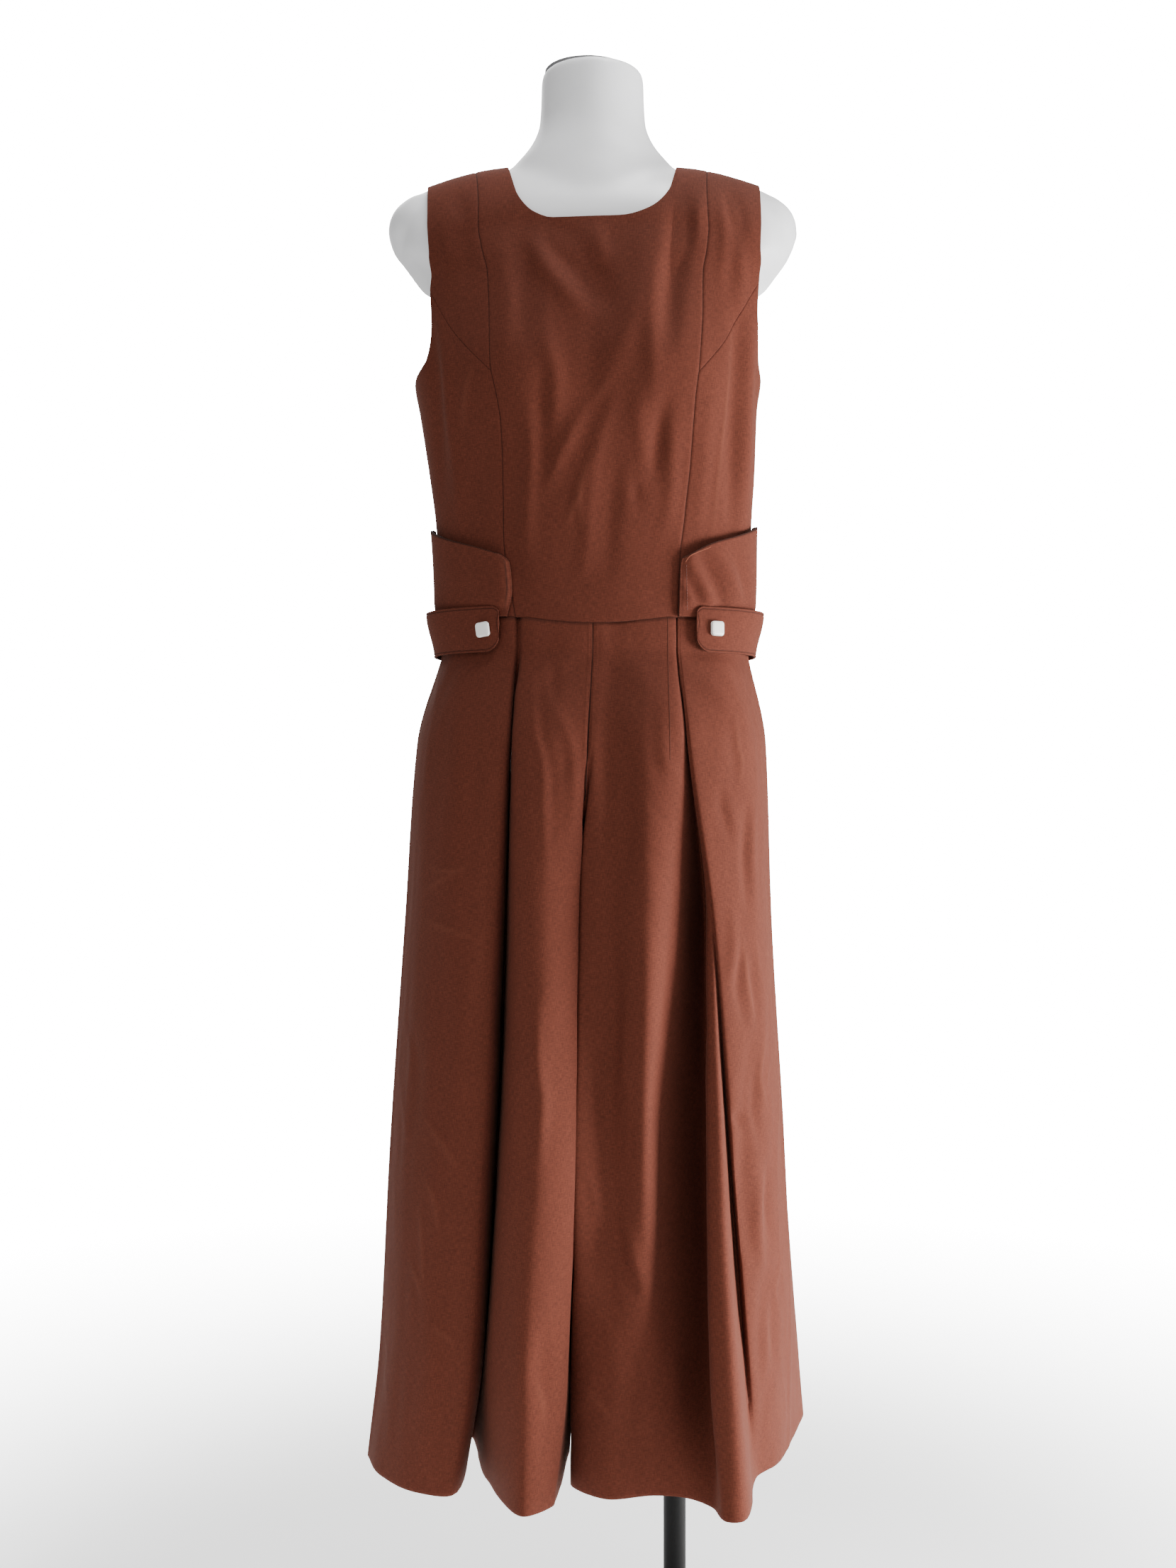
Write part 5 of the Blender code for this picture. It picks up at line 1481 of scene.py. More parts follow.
# ---- trousers
Fold = tuple[float, ...]
LEVELS = (HEM, 0.330, 0.520, 0.750, 0.920, BELT_LOW, WAIST)  # heights of the fold places
SIDE_RIGHT: Fold = (-149.5, 0, -173.6, 0, -185.5, 0, -200.9, 0, -210.5, 0, -222.4, -2)
SIDE_LEFT: Fold = (154.5, 0, 171.5, 0, 177.1, 0, 190, 0, 197, 8, 196, 17)
LEG_CREASES: dict[str, tuple[Crease, ...]] = {
    "trouser_front_left": (
        *creases(
            (1.12, 4.5, 61, 904, 68, 898, 78, 889), (0.96, 6, 63, 949, 65, 910, 68, 877),
            (-3.52, 12, 16, 975, 17, 910, 20, 845, 14, 767), (-2.88, 9, 29, 923, 33, 858, 29, 780),
            (2.24, 8, 6.5, 884, 9.1, 806, 3.9, 734),
            (-3.84, 9, 17, 734, 21, 668, 14, 596, 17, 531), (2.24, 7, 31, 701, 29, 636, 33, 571),
            (1.6, 4, -6.6, 523, 1.3, 500, 3.9, 477), (3.2, 7, 31, 472, 37, 441, 50, 410),
            (-2.88, 7, 24, 465, 29, 433, 42, 403), (2.4, 11, 9.2, 385, 22, 339, 20, 287),
            (-2.56, 12, 45, 390, 49, 325, 42, 252), lobe=(7, 11)),
        *creases(
            (1.89, 3.9, 134, 944, 136, 917, 140, 899, 138, 883), (1.35, 3.1, 147, 1002, 148, 975),
            (1.89, 3.4, 156, 986, 151, 952), (2.16, 4.2, 152, 959, 161, 928, 163, 894),
            (2.43, 3.6, 162, 877, 164, 832, 162, 797, 164, 755),
            (2.16, 3.9, 141, 738, 145, 694, 152, 662),
            (2.43, 3.9, 154, 735, 157, 710, 161, 693, 165, 669),
            (2.16, 3.6, 167, 741, 166, 709, 167, 679, 164, 662),
            (2.97, 4.2, 163, 666, 163, 639, 159, 613, 158, 601, 164, 577, 172, 560),
            (2.7, 3.9, 171, 645, 170, 615, 166, 599, 170, 577, 173, 544, 176, 521),
            (2.7, 4.2, 180, 617, 181, 571, 178, 532, 178, 483, 180, 431),
            (2.7, 3.9, 179, 463, 179, 440, 181, 419, 176, 395, 179, 374, 185, 346),
            (2.43, 3.9, 186, 440, 184, 398, 190, 368, 190, 339, 194, 314, 196, 289),
            (2.43, 3.9, 183, 319, 186, 298, 189, 276, 191, 248),
            profile=Profile.PRESSED, lobe=(0, 2)),
        *creases(
            (-1.28, 6, 129, 937, 131, 911, 133, 877), (-1.6, 5, 118, 874, 120, 856, 127, 834),
            (1.28, 5, 124, 871, 129, 851, 135, 828), (2.08, 8, 102, 980, 119, 961, 131, 947),
            (-2.88, 5, 131, 573, 137, 567, 142, 559),
            (-3.52, 9, 149, 644, 144, 578, 141, 511, 144, 444),
            (2.56, 8, 157, 548, 156, 481, 160, 414), (-2.56, 9, 164, 411, 162, 343, 168, 276),
            (3.04, 5, 152, 864, 151, 817, 155, 770), (-2.72, 5, 145, 857, 143, 810, 147, 757),
            (-2.72, 5, 140, 731, 136, 691, 143, 658), (-2.56, 4.5, 149, 717, 153, 683, 157, 650),
            (2.4, 6, 129, 764, 131, 731, 129, 698), (-2.88, 4.5, 155, 616, 153, 576, 159, 536),
            (-2.88, 5, 168, 519, 166, 478, 172, 438), (2.56, 5, 159, 508, 155, 467, 160, 420),
            (-3.04, 5, 173, 388, 174, 347, 180, 306), (2.56, 5, 165, 384, 166, 343, 164, 303),
            lobe=(0, 2)),
        *creases(
            (2.24, 7, 135, 369, 141, 316, 143, 257), (1.92, 6, 115, 622, 121, 556, 125, 490),
            lobe=(2.4, 5.2)),
        *creases(
            (2.16, 4.2, -5.2, 316, 9.2, 301, 16, 290), profile=Profile.PRESSED, lobe=(7, 11)),
        *creases(
            (1.92, 12, 65, 369, 75, 316, 74, 250), lobe=(6.6, 11)),
    ),
    "trouser_front_right": (
        *creases(
            (3.04, 4.4, -150, 1000, -150, 966, -156, 943),
            (2.85, 4.7, -183, 660, -173, 625, -174, 606, -176, 593, -178, 545),
            (2.09, 4.2, -188, 602, -182, 577, -177, 544),
            (1.9, 5.2, -193, 509, -190, 476, -192, 435),
            (1.9, 4.2, -205, 348, -198, 329, -200, 314, -197, 288),
            profile=Profile.PRESSED, lobe=(0, 2)),
        *creases(
            (-2.56, 6, -160, 994, -160, 963), (-1.92, 7, -177, 654, -166, 614, -169, 546),
            lobe=(0, 2)),
        *creases(
            (1.14, 4.2, -155, 803, -134, 798, -117, 803),
            (0.95, 4.4, -163, 776, -144, 789, -131, 796),
            (0.95, 4.2, -161, 753, -138, 746, -114, 740),
            (1.33, 4.4, -157, 567, -141, 548, -126, 528),
            (1.14, 4.4, -157, 513, -148, 493, -144, 468),
            (1.33, 4.2, -162, 486, -160, 448, -158, 410),
            (1.14, 3.9, -173, 430, -164, 416, -160, 402),
            (0.95, 4.4, -149, 377, -139, 370, -129, 363), profile=Profile.PRESSED, lobe=(0, 3)),
        *creases(
            (1.44, 10, -129, 963, -125, 897, -129, 831),
            (-1.12, 10, -110, 949, -112, 858, -115, 753),
            (-1.6, 12, -143, 726, -137, 646, -145, 567),
            (1.44, 11, -122, 687, -123, 608, -129, 517),
            (1.92, 13, -156, 422, -148, 356, -156, 283),
            (-1.44, 10, -133, 371, -136, 305, -139, 246), lobe=(0, 3)),
        *creases(
            (0.88, 5, -57, 981, -53, 927, -46, 898, -45, 848, -42, 793),
            (-0.88, 5.5, -49, 975, -46, 929, -38, 890, -36, 832),
            (1.92, 6, -34, 949, -20, 917, -17, 881, -20, 832), (-1.44, 6, -38, 995, -35, 959),
            (2.24, 6, -51, 678, -50, 613, -46, 595, -49, 536),
            (-1.6, 8, -59, 625, -61, 548, -57, 470), (1.92, 10, -62, 433, -65, 369, -59, 298),
            (-1.6, 8, -44, 382, -45, 330, -41, 266), lobe=(5, 8)),
        *creases(
            (1.33, 5.2, -52, 336, -46, 320, -44, 298), profile=Profile.PRESSED, lobe=(5, 8)),
    ),
    "trouser_back_right": (
        *creases(
            (2.08, 8, -156, 963, -129, 937, -96, 930), (-1.92, 7, -149, 930, -123, 910, -90, 906),
            (1.92, 9, -23, 871, -43, 832, -76, 812), (3.2, 16, -88, 819, -95, 689, -101, 560),
            (-3.2, 13, -59, 780, -56, 651, -65, 521), (-2.56, 14, -128, 754, -136, 623, -142, 480),
            (2.88, 14, -88, 497, -94, 401, -88, 285), (2.56, 13, -141, 454, -147, 362, -154, 258)),
        *creases(
            (3.24, 5.2, -188, 646, -181, 585, -186, 517),
            (1.89, 4.4, -114, 625, -95, 605, -78, 573),
            (1.62, 4.4, -121, 793, -102, 786, -81, 790), profile=Profile.PRESSED),
    ),
    "trouser_back_left": (
        *creases(
            (1.92, 8, 154, 957, 128, 930, 95, 926), (-1.92, 7, 149, 924, 121, 904, 92, 902),
            (1.92, 9, 9.1, 864, 29, 825, 61, 809), (3.04, 15, 61, 813, 71, 689, 74, 547),
            (-3.04, 13, 35, 780, 38, 651, 29, 508), (-2.72, 14, 107, 754, 120, 623, 133, 493),
            (2.72, 14, 67, 485, 61, 394, 67, 279), (2.72, 13, 144, 472, 151, 382, 157, 279)),
        *creases(
            (2.97, 5.2, 172, 627, 176, 573, 181, 505), (2.7, 4.7, 164, 695, 169, 654, 165, 614),
            (1.89, 4.4, 93, 625, 110, 605, 119, 573), profile=Profile.PRESSED),
    ),
}


@dataclass
class LegPanel:
    """One trouser panel, from the side seam to the centre and inner seam.

    Each fold line gives, in millimetres from the waist down, its x and how far it is set in
    behind the waist ring, and then its x and y at each lower level.

    Attributes:
        name: Its name, which is its solid's too.
        side: Front or back.
        hand: The hand that it is on.
        folds: Its fold lines, the first down the side seam.
        steps: Steps from each fold line to the next, the last to the inner seam.
        crests: Fold lines that the grain of the cloth runs along.
    """

    name: str
    side: Side
    hand: Hand
    folds: tuple[Fold, ...]
    steps: tuple[int, ...]
    crests: tuple[int, ...] = (1,)


LEG_PANELS: tuple[LegPanel, ...] = (
    LegPanel("trouser_front_right", Side.FRONT, Hand.RIGHT, (
        SIDE_RIGHT,
        (-133, 0, -155, -64, -162, -72, -175, -72, -186, -66, -203, -55),
        (-105, 0, -118, -104, -127, -110, -140, -108, -150, -104, -166, -95),
        (-73.5, 0, -79.5, -113, -89.5, -112, -102.4, -111, -113, -108, -131, -102),
        (-69.5, 5, -76.2, -82, -83.5, -36, -93.5, -12, -106, 8, -122, 45),
        (-65.5, 0, -72.2, -117, -71.7, -119, -81.5, -117, -96, -106, -102, -60),
        (-40, 0, -45, -125, -45, -129, -53, -136, -62, -146, -64, -150),
        (-11, 0, -9, -120, -12.5, -109, -16.3, -116, -24.5, -120, -37, -128),
        (-5, 0, -5.5, -119, -20.5, -98.5, -24, -104.5, -24.5, -106, -34, -112)),
        (30, 24, 18, 10, 10, 18, 18, 8, 8), (3, 6)),
    LegPanel("trouser_front_left", Side.FRONT, Hand.LEFT, (
        SIDE_LEFT,
        (127, 0, 143, -82, 153, -78, 166, -62, 175, -44, 178, -29),
        (82.5, 0, 90, -117, 113, -111.5, 132, -96, 148, -78, 158, -56),
        (81.5, 0.2, 88.8, -116.2, 111.2, -108.5, 129, -78, 144, -72, 153.5, -70),
        (80.7, 0.2, 88, -115.8, 109.5, -108.5, 119, -111, 129, -136, 135.5, -159.5),
        (79.7, 0.4, 86.8, -114.8, 106.4, -105, 107.5, -107, 110, -129, 119.5, -160.5),
        (78.7, 4.5, 87.6, -105, 108.5, -42, 112.5, -26, 115, -48, 108.5, -128),
        (77.5, 0.3, 82.8, -117.5, 75.2, -107, 64.5, -88, 74, -84, 86, -108),
        (50, 0, 50.9, -125.5, 50.5, -128, 48, -116, 48, -106, 56, -102),
        (18, 1, 17.5, -119, 16.3, -112, 16.3, -104, 15, -106, 14, -111),
        (8, 0, 2, -119.5, -15, -104.5, -19, -110.5, -19.8, -86, -19.5, -80),
        (3, 0, -1.2, -119, -10.8, -76, -14, -76, -17.5, -62, -18, -55)),
        (30, 26, 6, 8, 6, 8, 10, 14, 14, 12, 6, 6), (2, 5, 7)),
    LegPanel("trouser_back_right", Side.BACK, Hand.RIGHT, (
        SIDE_RIGHT,
        (-131, 0, -155, 70, -164, 82, -180, 90, -190, 92, -201, 86),
        (-95, 0, -110, 112, -118, 122, -128, 126, -136, 130, -148, 130),
        (-52, 0, -60, 127, -66, 133, -74, 132, -82, 137, -90, 141),
        (-8, 0, -10, 124.5, -15, 122, -18.8, 118, -25.6, 116, -33.5, 116)),
        (24, 22, 22, 20, 12)),
    LegPanel("trouser_back_left", Side.BACK, Hand.LEFT, (
        SIDE_LEFT,
        (134, 0, 157, 70, 168, 88, 188, 108, 206, 128, 219, 140),
        (98, 0, 112, 112, 120, 124, 131, 132, 141, 140, 145, 148),
        (52, 0, 60, 127, 62, 133, 64, 132, 64, 137, 62, 142),
        (8, 0, 2, 124.5, -8.2, 121, -12, 114, -18.2, 110, -23.5, 112)),
        (24, 22, 22, 20, 12)),
)


@dataclass
class Trousers:
    """The four panels of the wide legs, pleated in front."""

    crotch_top: float = 0.885
    crotch: float = 0.820
    centre_x: tuple[float, ...] = (-0.0285, -0.0220, -0.0155, -0.0117, -0.0045, 0.0)
    centre_front_y: float = 0.118
    centre_back_y: float = 0.124
    inseam_y: float = 0.010
    bow: float = 7 * MM
    bow_span: tuple[float, float] = (-0.090, -0.030)
    tuck: float = 8 * MM
    tuck_front: tuple[float, ...] = (-0.128, -0.120, -0.116, -0.109, -0.120, -0.120)
    tuck_place: tuple[float, float] = (0.001, 0.034)
    tuck_rise: tuple[float, float] = (0.007, 0.014)
    tuck_fade: tuple[float, float] = (0.42, 0.10)
    zip_let_in: float = 0.9625
    clearance: float = 0.9 * MM
    row: float = 3.4 * MM
    rumple: Rumple = Rumple(0.6 * MM, 30 * MM, 95 * MM, 11.0)
    facing_from: float = 0.35
    least_crease: float = 0.4
    calm_waist: float = 0.03
    calm_side: float = 0.25
    calm_seam: float = 0.3

    def build(self, finishes: Finishes) -> None:
        """Make the four panels."""
        for panel in LEG_PANELS:
            self.make_panel(panel, finishes)

    def waist_y(self, side: Side, x: float) -> float:
        """Depth of the waist ring at x."""
        angle = BODY.place_of(x, WAIST)[0]
        return float(BODY.point(side, np.array(angle), np.array(WAIST))[1])

    def fold_line(self, fold: Fold, side: Side, height: Grid) -> Grid:
        """Plan places of a fold line at some heights."""
        (waist_x, set_in), *lower = np.array(fold).reshape(-1, 2) * MM
        top = (waist_x, self.waist_y(side, waist_x) - side.value * set_in)
        points = np.array([*lower[::-1], top])
        return np.stack([monotone(LEVELS[:6], points[:, k], height) for k in (0, 1)], axis=-1)

    def between_legs(self, height: Grid, y: Grid) -> Grid:
        """X half-way between the legs, which winds so that one laps behind the other."""
        below = ease((self.crotch_top - height) / (self.crotch_top - self.crotch))
        start, end = self.bow_span
        front = monotone(LEVELS[:6], self.tuck_front, height)
        tuck = (ease((y - front - self.tuck_place[0]) / self.tuck_rise[0])
                * ease((front + self.tuck_place[1] - y) / self.tuck_rise[1]))
        tuck *= self.tuck * ease((height - self.tuck_fade[0]) / self.tuck_fade[1])
        lap = (self.bow * ease((y - start) / (end - start)) - tuck) * below
        return monotone(LEVELS[:6], self.centre_x, height) + lap

    def inner_seam(self, side: Side, hand: Hand, height: Grid) -> tuple[Grid, Grid]:
        """Plan places and outward directions of the centre and inner seam."""
        under = (self.crotch_top - height) / (self.crotch_top - self.crotch)
        below = ease(under)
        clear = SEAM_GAP + (self.clearance - SEAM_GAP) * below
        if side is Side.BACK:
            clear = np.where(height > self.zip_let_in, ZIP_HALF, clear)
        depth = self.centre_front_y if side is Side.FRONT else self.centre_back_y
        ring = abs(self.waist_y(side, 0.0))
        y = side.value * monotone((self.crotch_top, LEVELS[4], BELT_LOW), (depth, depth, ring),
                                  height)
        curve = np.sqrt(np.clip(1 - np.clip(under, 0, 1) ** 2, 0, 1))
        y = np.where(under > 0, self.inseam_y + (side.value * depth - self.inseam_y) * curve, y)
        x = self.between_legs(height, y) + hand.value * clear
        turn = below * QUARTER
        out = np.stack([-hand.value * np.sin(turn), side.value * np.cos(turn),
                        np.zeros_like(turn)], axis=-1)
        return np.stack([x, y], axis=-1), out

    def make_panel(self, panel: LegPanel, finishes: Finishes) -> None:
        """Make one panel with its folds and creases."""
        hand, side = panel.hand, panel.side
        count = round((WAIST - HEM) / self.row)
        height = np.linspace(HEM, WAIST, count + 1)
        seam, seam_out = self.inner_seam(side, hand, height)
        lines = [self.fold_line(fold, side, height) for fold in panel.folds] + [seam]
        plan = catmull(np.stack(lines, axis=1), panel.steps)
        seam_clear = hand.value * (seam[:, 0] - self.between_legs(height, seam[:, 1]))
        middle = self.between_legs(height[:, None], plan[..., 1])
        limit = hand.value * middle + seam_clear[:, None]
        plan[..., 0] = hand.value * np.maximum(hand.value * plan[..., 0], limit)
        plan = crowd_ends(plan, 1)
        z = np.repeat(height[:, None], plan.shape[1], axis=1)
        if side is Side.FRONT:
            z = z - waist_drop(plan[..., 0]) * ease((z - BELT_LOW) / (WAIST - BELT_LOW))
        grid = np.stack([plan[..., 0], plan[..., 1], z], axis=-1)
        normals = self.outward(grid, hand, side, seam_out)
        ends = np.concatenate([[0], np.cumsum(panel.steps)])
        span = crowd_ends(np.interp(np.arange(ends[-1] + 1), ends, np.arange(len(ends))), 0)
        span = np.repeat(span[None, :], len(height), axis=0)
        up, run = lengths(grid)
        relief = self.rumple.relief(run, up)
        creased, worn = crumple(LEG_CREASES.get(panel.name, ()), grid[..., 0], z, span)
        facing = ease((np.abs(normals[..., 1]) - self.facing_from) / self.facing_from)
        # worn: the pale line of pressed creases, wear with painted highlight, kept to front panels
        # and to cloth facing front or back.
        worn *= facing * (side is Side.FRONT)
        relief += creased * (self.least_crease + (1 - self.least_crease) * facing)
        relief *= ease((WAIST - z) / self.calm_waist) * ease(span / self.calm_side)
        relief *= ease((span[..., -1:] - span) / self.calm_seam)
        deep, dark = Edges(bottom=0.0, top=0.3 * MM).dip(grid)
        relief -= deep
        weave = weave_map(grid, [int(ends[fold]) + 2 for fold in panel.crests])
        grid = grid + normals * relief[..., None]
        normals = self.outward(grid, hand, side, seam_out)
        # seam: painted shade along the seams, less the creases' pale wear with painted highlight.
        piece = Shell(panel.name, grid, normals, CLOTH, weave,
                      seam=dark - worn).build(finishes.linen)
        hang(piece, [panel.name], measure(panel.name, grid))

    def outward(self, grid: Grid, hand: Hand, side: Side, seam_out: Grid) -> Grid:
        """Outward normals of a leg panel, square to its seams at both ends."""
        normals = grid_normals(grid) * (side.value * hand.value)
        normals[:, 0] = (hand.value, 0.0, 0.0)
        normals[:, -1] = seam_out
        normals[-1, :, 2] = 0.0
        return normals / np.linalg.norm(normals, axis=-1, keepdims=True)


# ---- sewn lines
@dataclass(frozen=True)
class SewnLine:
    """One line of sewing, placed on a piece seen square on.

    Attributes:
        piece: Name of the solid whose cloth it lies on.
        course: Points (across, up) that it passes through, in millimetres.
        radius: Radius of its thread or ridge.
        sunk: How far its middle lies in, as a share of the radius.
        shade: Painted shade along it, or painted highlight when negative.
        stitch: Length of a stitch and of the gap after it, or None for a closed seam.
    """

    piece: str
    course: Points
    radius: float
    sunk: float
    shade: float
    stitch: tuple[float, float] | None = None


@dataclass
class Sewing:
    """The dart, the flap's topstitching and its corner seam."""

    step: float = 0.55 * MM
    rough_steps: int = 12
    lines: tuple[SewnLine, ...] = (
        # The dart's cord carries painted shade; the corner seam's negative shade is a painted
        # highlight along its ridge.
        SewnLine("trouser_front_left", ((70.1, 1035.5), (70.2, 985), (70.5, 940), (70.8, 901.5)),
                 0.45 * MM, 0.45, 0.5),
        SewnLine("waist_flap_left", ((87.5, 1085), (88.0, 1062), (88.4, 1041)), 0.35 * MM,
                 0.1, 0.9, (2.2 * MM, 0.6 * MM)),
        SewnLine("waist_flap_left", ((86.6, 1087.5), (90.6, 1093.0), (98.0, 1097.0),
                                     (111.0, 1102.6)), 0.5 * MM, 0.4, -0.8),
    )

    def build(self, finishes: Finishes) -> None:
        """Make each line as one piece."""
        for number, line in enumerate(self.lines):
            path, normal = self.lay(line)
            reached = np.arange(len(path)) * self.step
            runs = [(0, len(path))]
            if line.stitch:
                pitch = sum(line.stitch)
                starts = np.arange(0.0, reached[-1] - line.stitch[0], pitch)
                runs = [tuple(np.searchsorted(reached, (at, at + line.stitch[0] + self.step)))
                        for at in starts]
            points, faces = np.empty((0, 3)), np.empty((0, 4), int)
            for start, end in runs:
                made, walls = tube(path[start:end], normal[start:end], line.radius)
                faces = np.concatenate([faces, walls + len(points)])
                points = np.concatenate([points, made])
            finish = finishes.thread if line.stitch else finishes.linen
            piece = make_mesh(f"sewn_line_{number + 1}", points, faces, finish,
                              points[:, [0, 2]], np.full(len(points), line.shade))
            hang(piece, [])

    def lay(self, line: SewnLine) -> tuple[Grid, Grid]:
        """Lay a line on its piece.

        Args:
            line: The line.

        Returns:
            Evenly spaced points along its middle, and the cloth's normal at each.
        """
        rough = catmull(np.array(line.course, float) * MM,
                        [self.rough_steps] * (len(line.course) - 1))
        run = length_along(rough)
        at = np.arange(0.0, run[-1], self.step)
        places = np.stack([np.interp(at, run, rough[:, k]) for k in (0, 1)], axis=-1)
        mesh = next(made for made in bpy.context.scene.objects
                    if line.piece in made.get("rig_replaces", ())).data
        tree = BVHTree.FromPolygons([vertex.co for vertex in mesh.vertices],
                                    [face.vertices for face in mesh.polygons])
        path, normals = [], []
        for x, z in places:
            hit, normal, *_ = tree.ray_cast(Vector((x, -1.0, z)), Vector((0.0, 1.0, 0.0)))
            path.append(hit - normal * line.radius * line.sunk)
            normals.append(normal)
        path = np.array(path)
        path[1:-1] = (path[:-2] + 2 * path[1:-1] + path[2:]) / 4
        return path, np.array(normals)


def tube(path: Grid, normals: Grid, radius: float, sides: int = 6) -> tuple[Grid, Grid]:
    """Model a thin closed cord.

    Args:
        path: Points along its middle.
        normals: A direction square to it at each point.
        radius: Its radius.
        sides: Sides of its section.

    Returns:
        Its points and its faces.
    """
    along = np.gradient(path, axis=0)
    aside = np.cross(along, normals)
    aside /= np.linalg.norm(aside, axis=-1, keepdims=True)
    turn = np.arange(sides) / sides * math.tau
    thick = radius * np.ones(len(path))
    thick[[0, -1]] *= 0.5
    rings = (path[:, None] + thick[:, None, None]
             * (np.cos(turn)[None, :, None] * normals[:, None]
                + np.sin(turn)[None, :, None] * aside[:, None]))
    ends = [[ring, ring + k, ring + k + 1, ring + k + 2]
            for ring in (0, (len(rings) - 1) * sides) for k in range(1, sides - 2, 2)]
    faces = np.concatenate([ring_faces(len(rings), sides), np.array(ends)])
    points = rings.reshape(-1, 3)
    return points, faces if signed_volume(points, faces) > 0 else faces[:, ::-1]


# ---- zip
@dataclass
class Zip:
    """The coil zip down the centre back: its tape and the two rows of its coil."""

    top: float = 1.4300
    end: float = 0.9640
    stations: int = 150
    tape: float = 4.4 * MM
    tape_wall: float = 0.5 * MM
    tape_sunk: float = 0.9 * MM
    pitch: float = 2.0 * MM
    tooth: Triple = (1.7 * MM, 0.7 * MM, 1.1 * MM)
    tooth_out: float = 0.55 * MM
    tooth_sunk: float = 0.15 * MM

    def line(self, trousers: Trousers, count: int) -> tuple[Grid, Grid]:
        """Points down the middle of the zip and their outward directions."""
        height = np.linspace(self.end, self.top, count)
        zero = np.zeros_like(height)
        body = BODY.point(Side.BACK, zero, height)
        normal = BODY.normal(Side.BACK, zero, height)
        seam, _ = trousers.inner_seam(Side.BACK, Hand.LEFT, height)
        low = height <= WAIST
        body[low, 0] = monotone(LEVELS[:6], trousers.centre_x, height)[low]
        body[low, 1] = seam[low, 1]
        body[low, 2] = height[low]
        normal[low] = (0.0, 1.0, 0.0)
        return body, normal

    def build(self, trousers: Trousers, finishes: Finishes) -> None:
        """Make the tape and the coil's teeth."""
        middle, normal = self.line(trousers, self.stations)
        across = np.linspace(-0.5, 0.5, 7) * self.tape
        grid = middle[:, None, :] + across[None, :, None] * np.array([1.0, 0.0, 0.0])
        normals = np.repeat(normal[:, None, :], len(across), axis=1)
        grid = grid - normals * self.tape_sunk
        tape = Shell("zip_chain", grid, normals, self.tape_wall, weave_map(grid))
        hang(tape.build(finishes.zip_coil), ["zip_chain"])
        count = round((self.top - self.end) / self.pitch)
        middle, normal = self.line(trousers, count)
        shape = bmesh.new()
        for k, (point, out) in enumerate(zip(middle, normal)):
            sign = 1 if k % 2 else -1
            made = bmesh.ops.create_cube(shape, size=1.0)["verts"]
            bmesh.ops.scale(shape, vec=self.tooth, verts=made)
            tilt = Matrix.Rotation(math.asin(max(-1.0, min(1.0, float(out[2])))), 3, "X")
            bmesh.ops.rotate(shape, matrix=tilt, verts=made)
            place = (Vector(point) - Vector(out) * self.tooth_sunk
                     + Vector((sign * self.tooth_out, 0, 0)))
            bmesh.ops.translate(shape, vec=place, verts=made)
        mesh = bpy.data.meshes.new("zip_teeth")
        shape.to_mesh(mesh)
        shape.free()
        hang(coat(add_piece("zip_teeth", mesh), finishes.zip_coil), [])


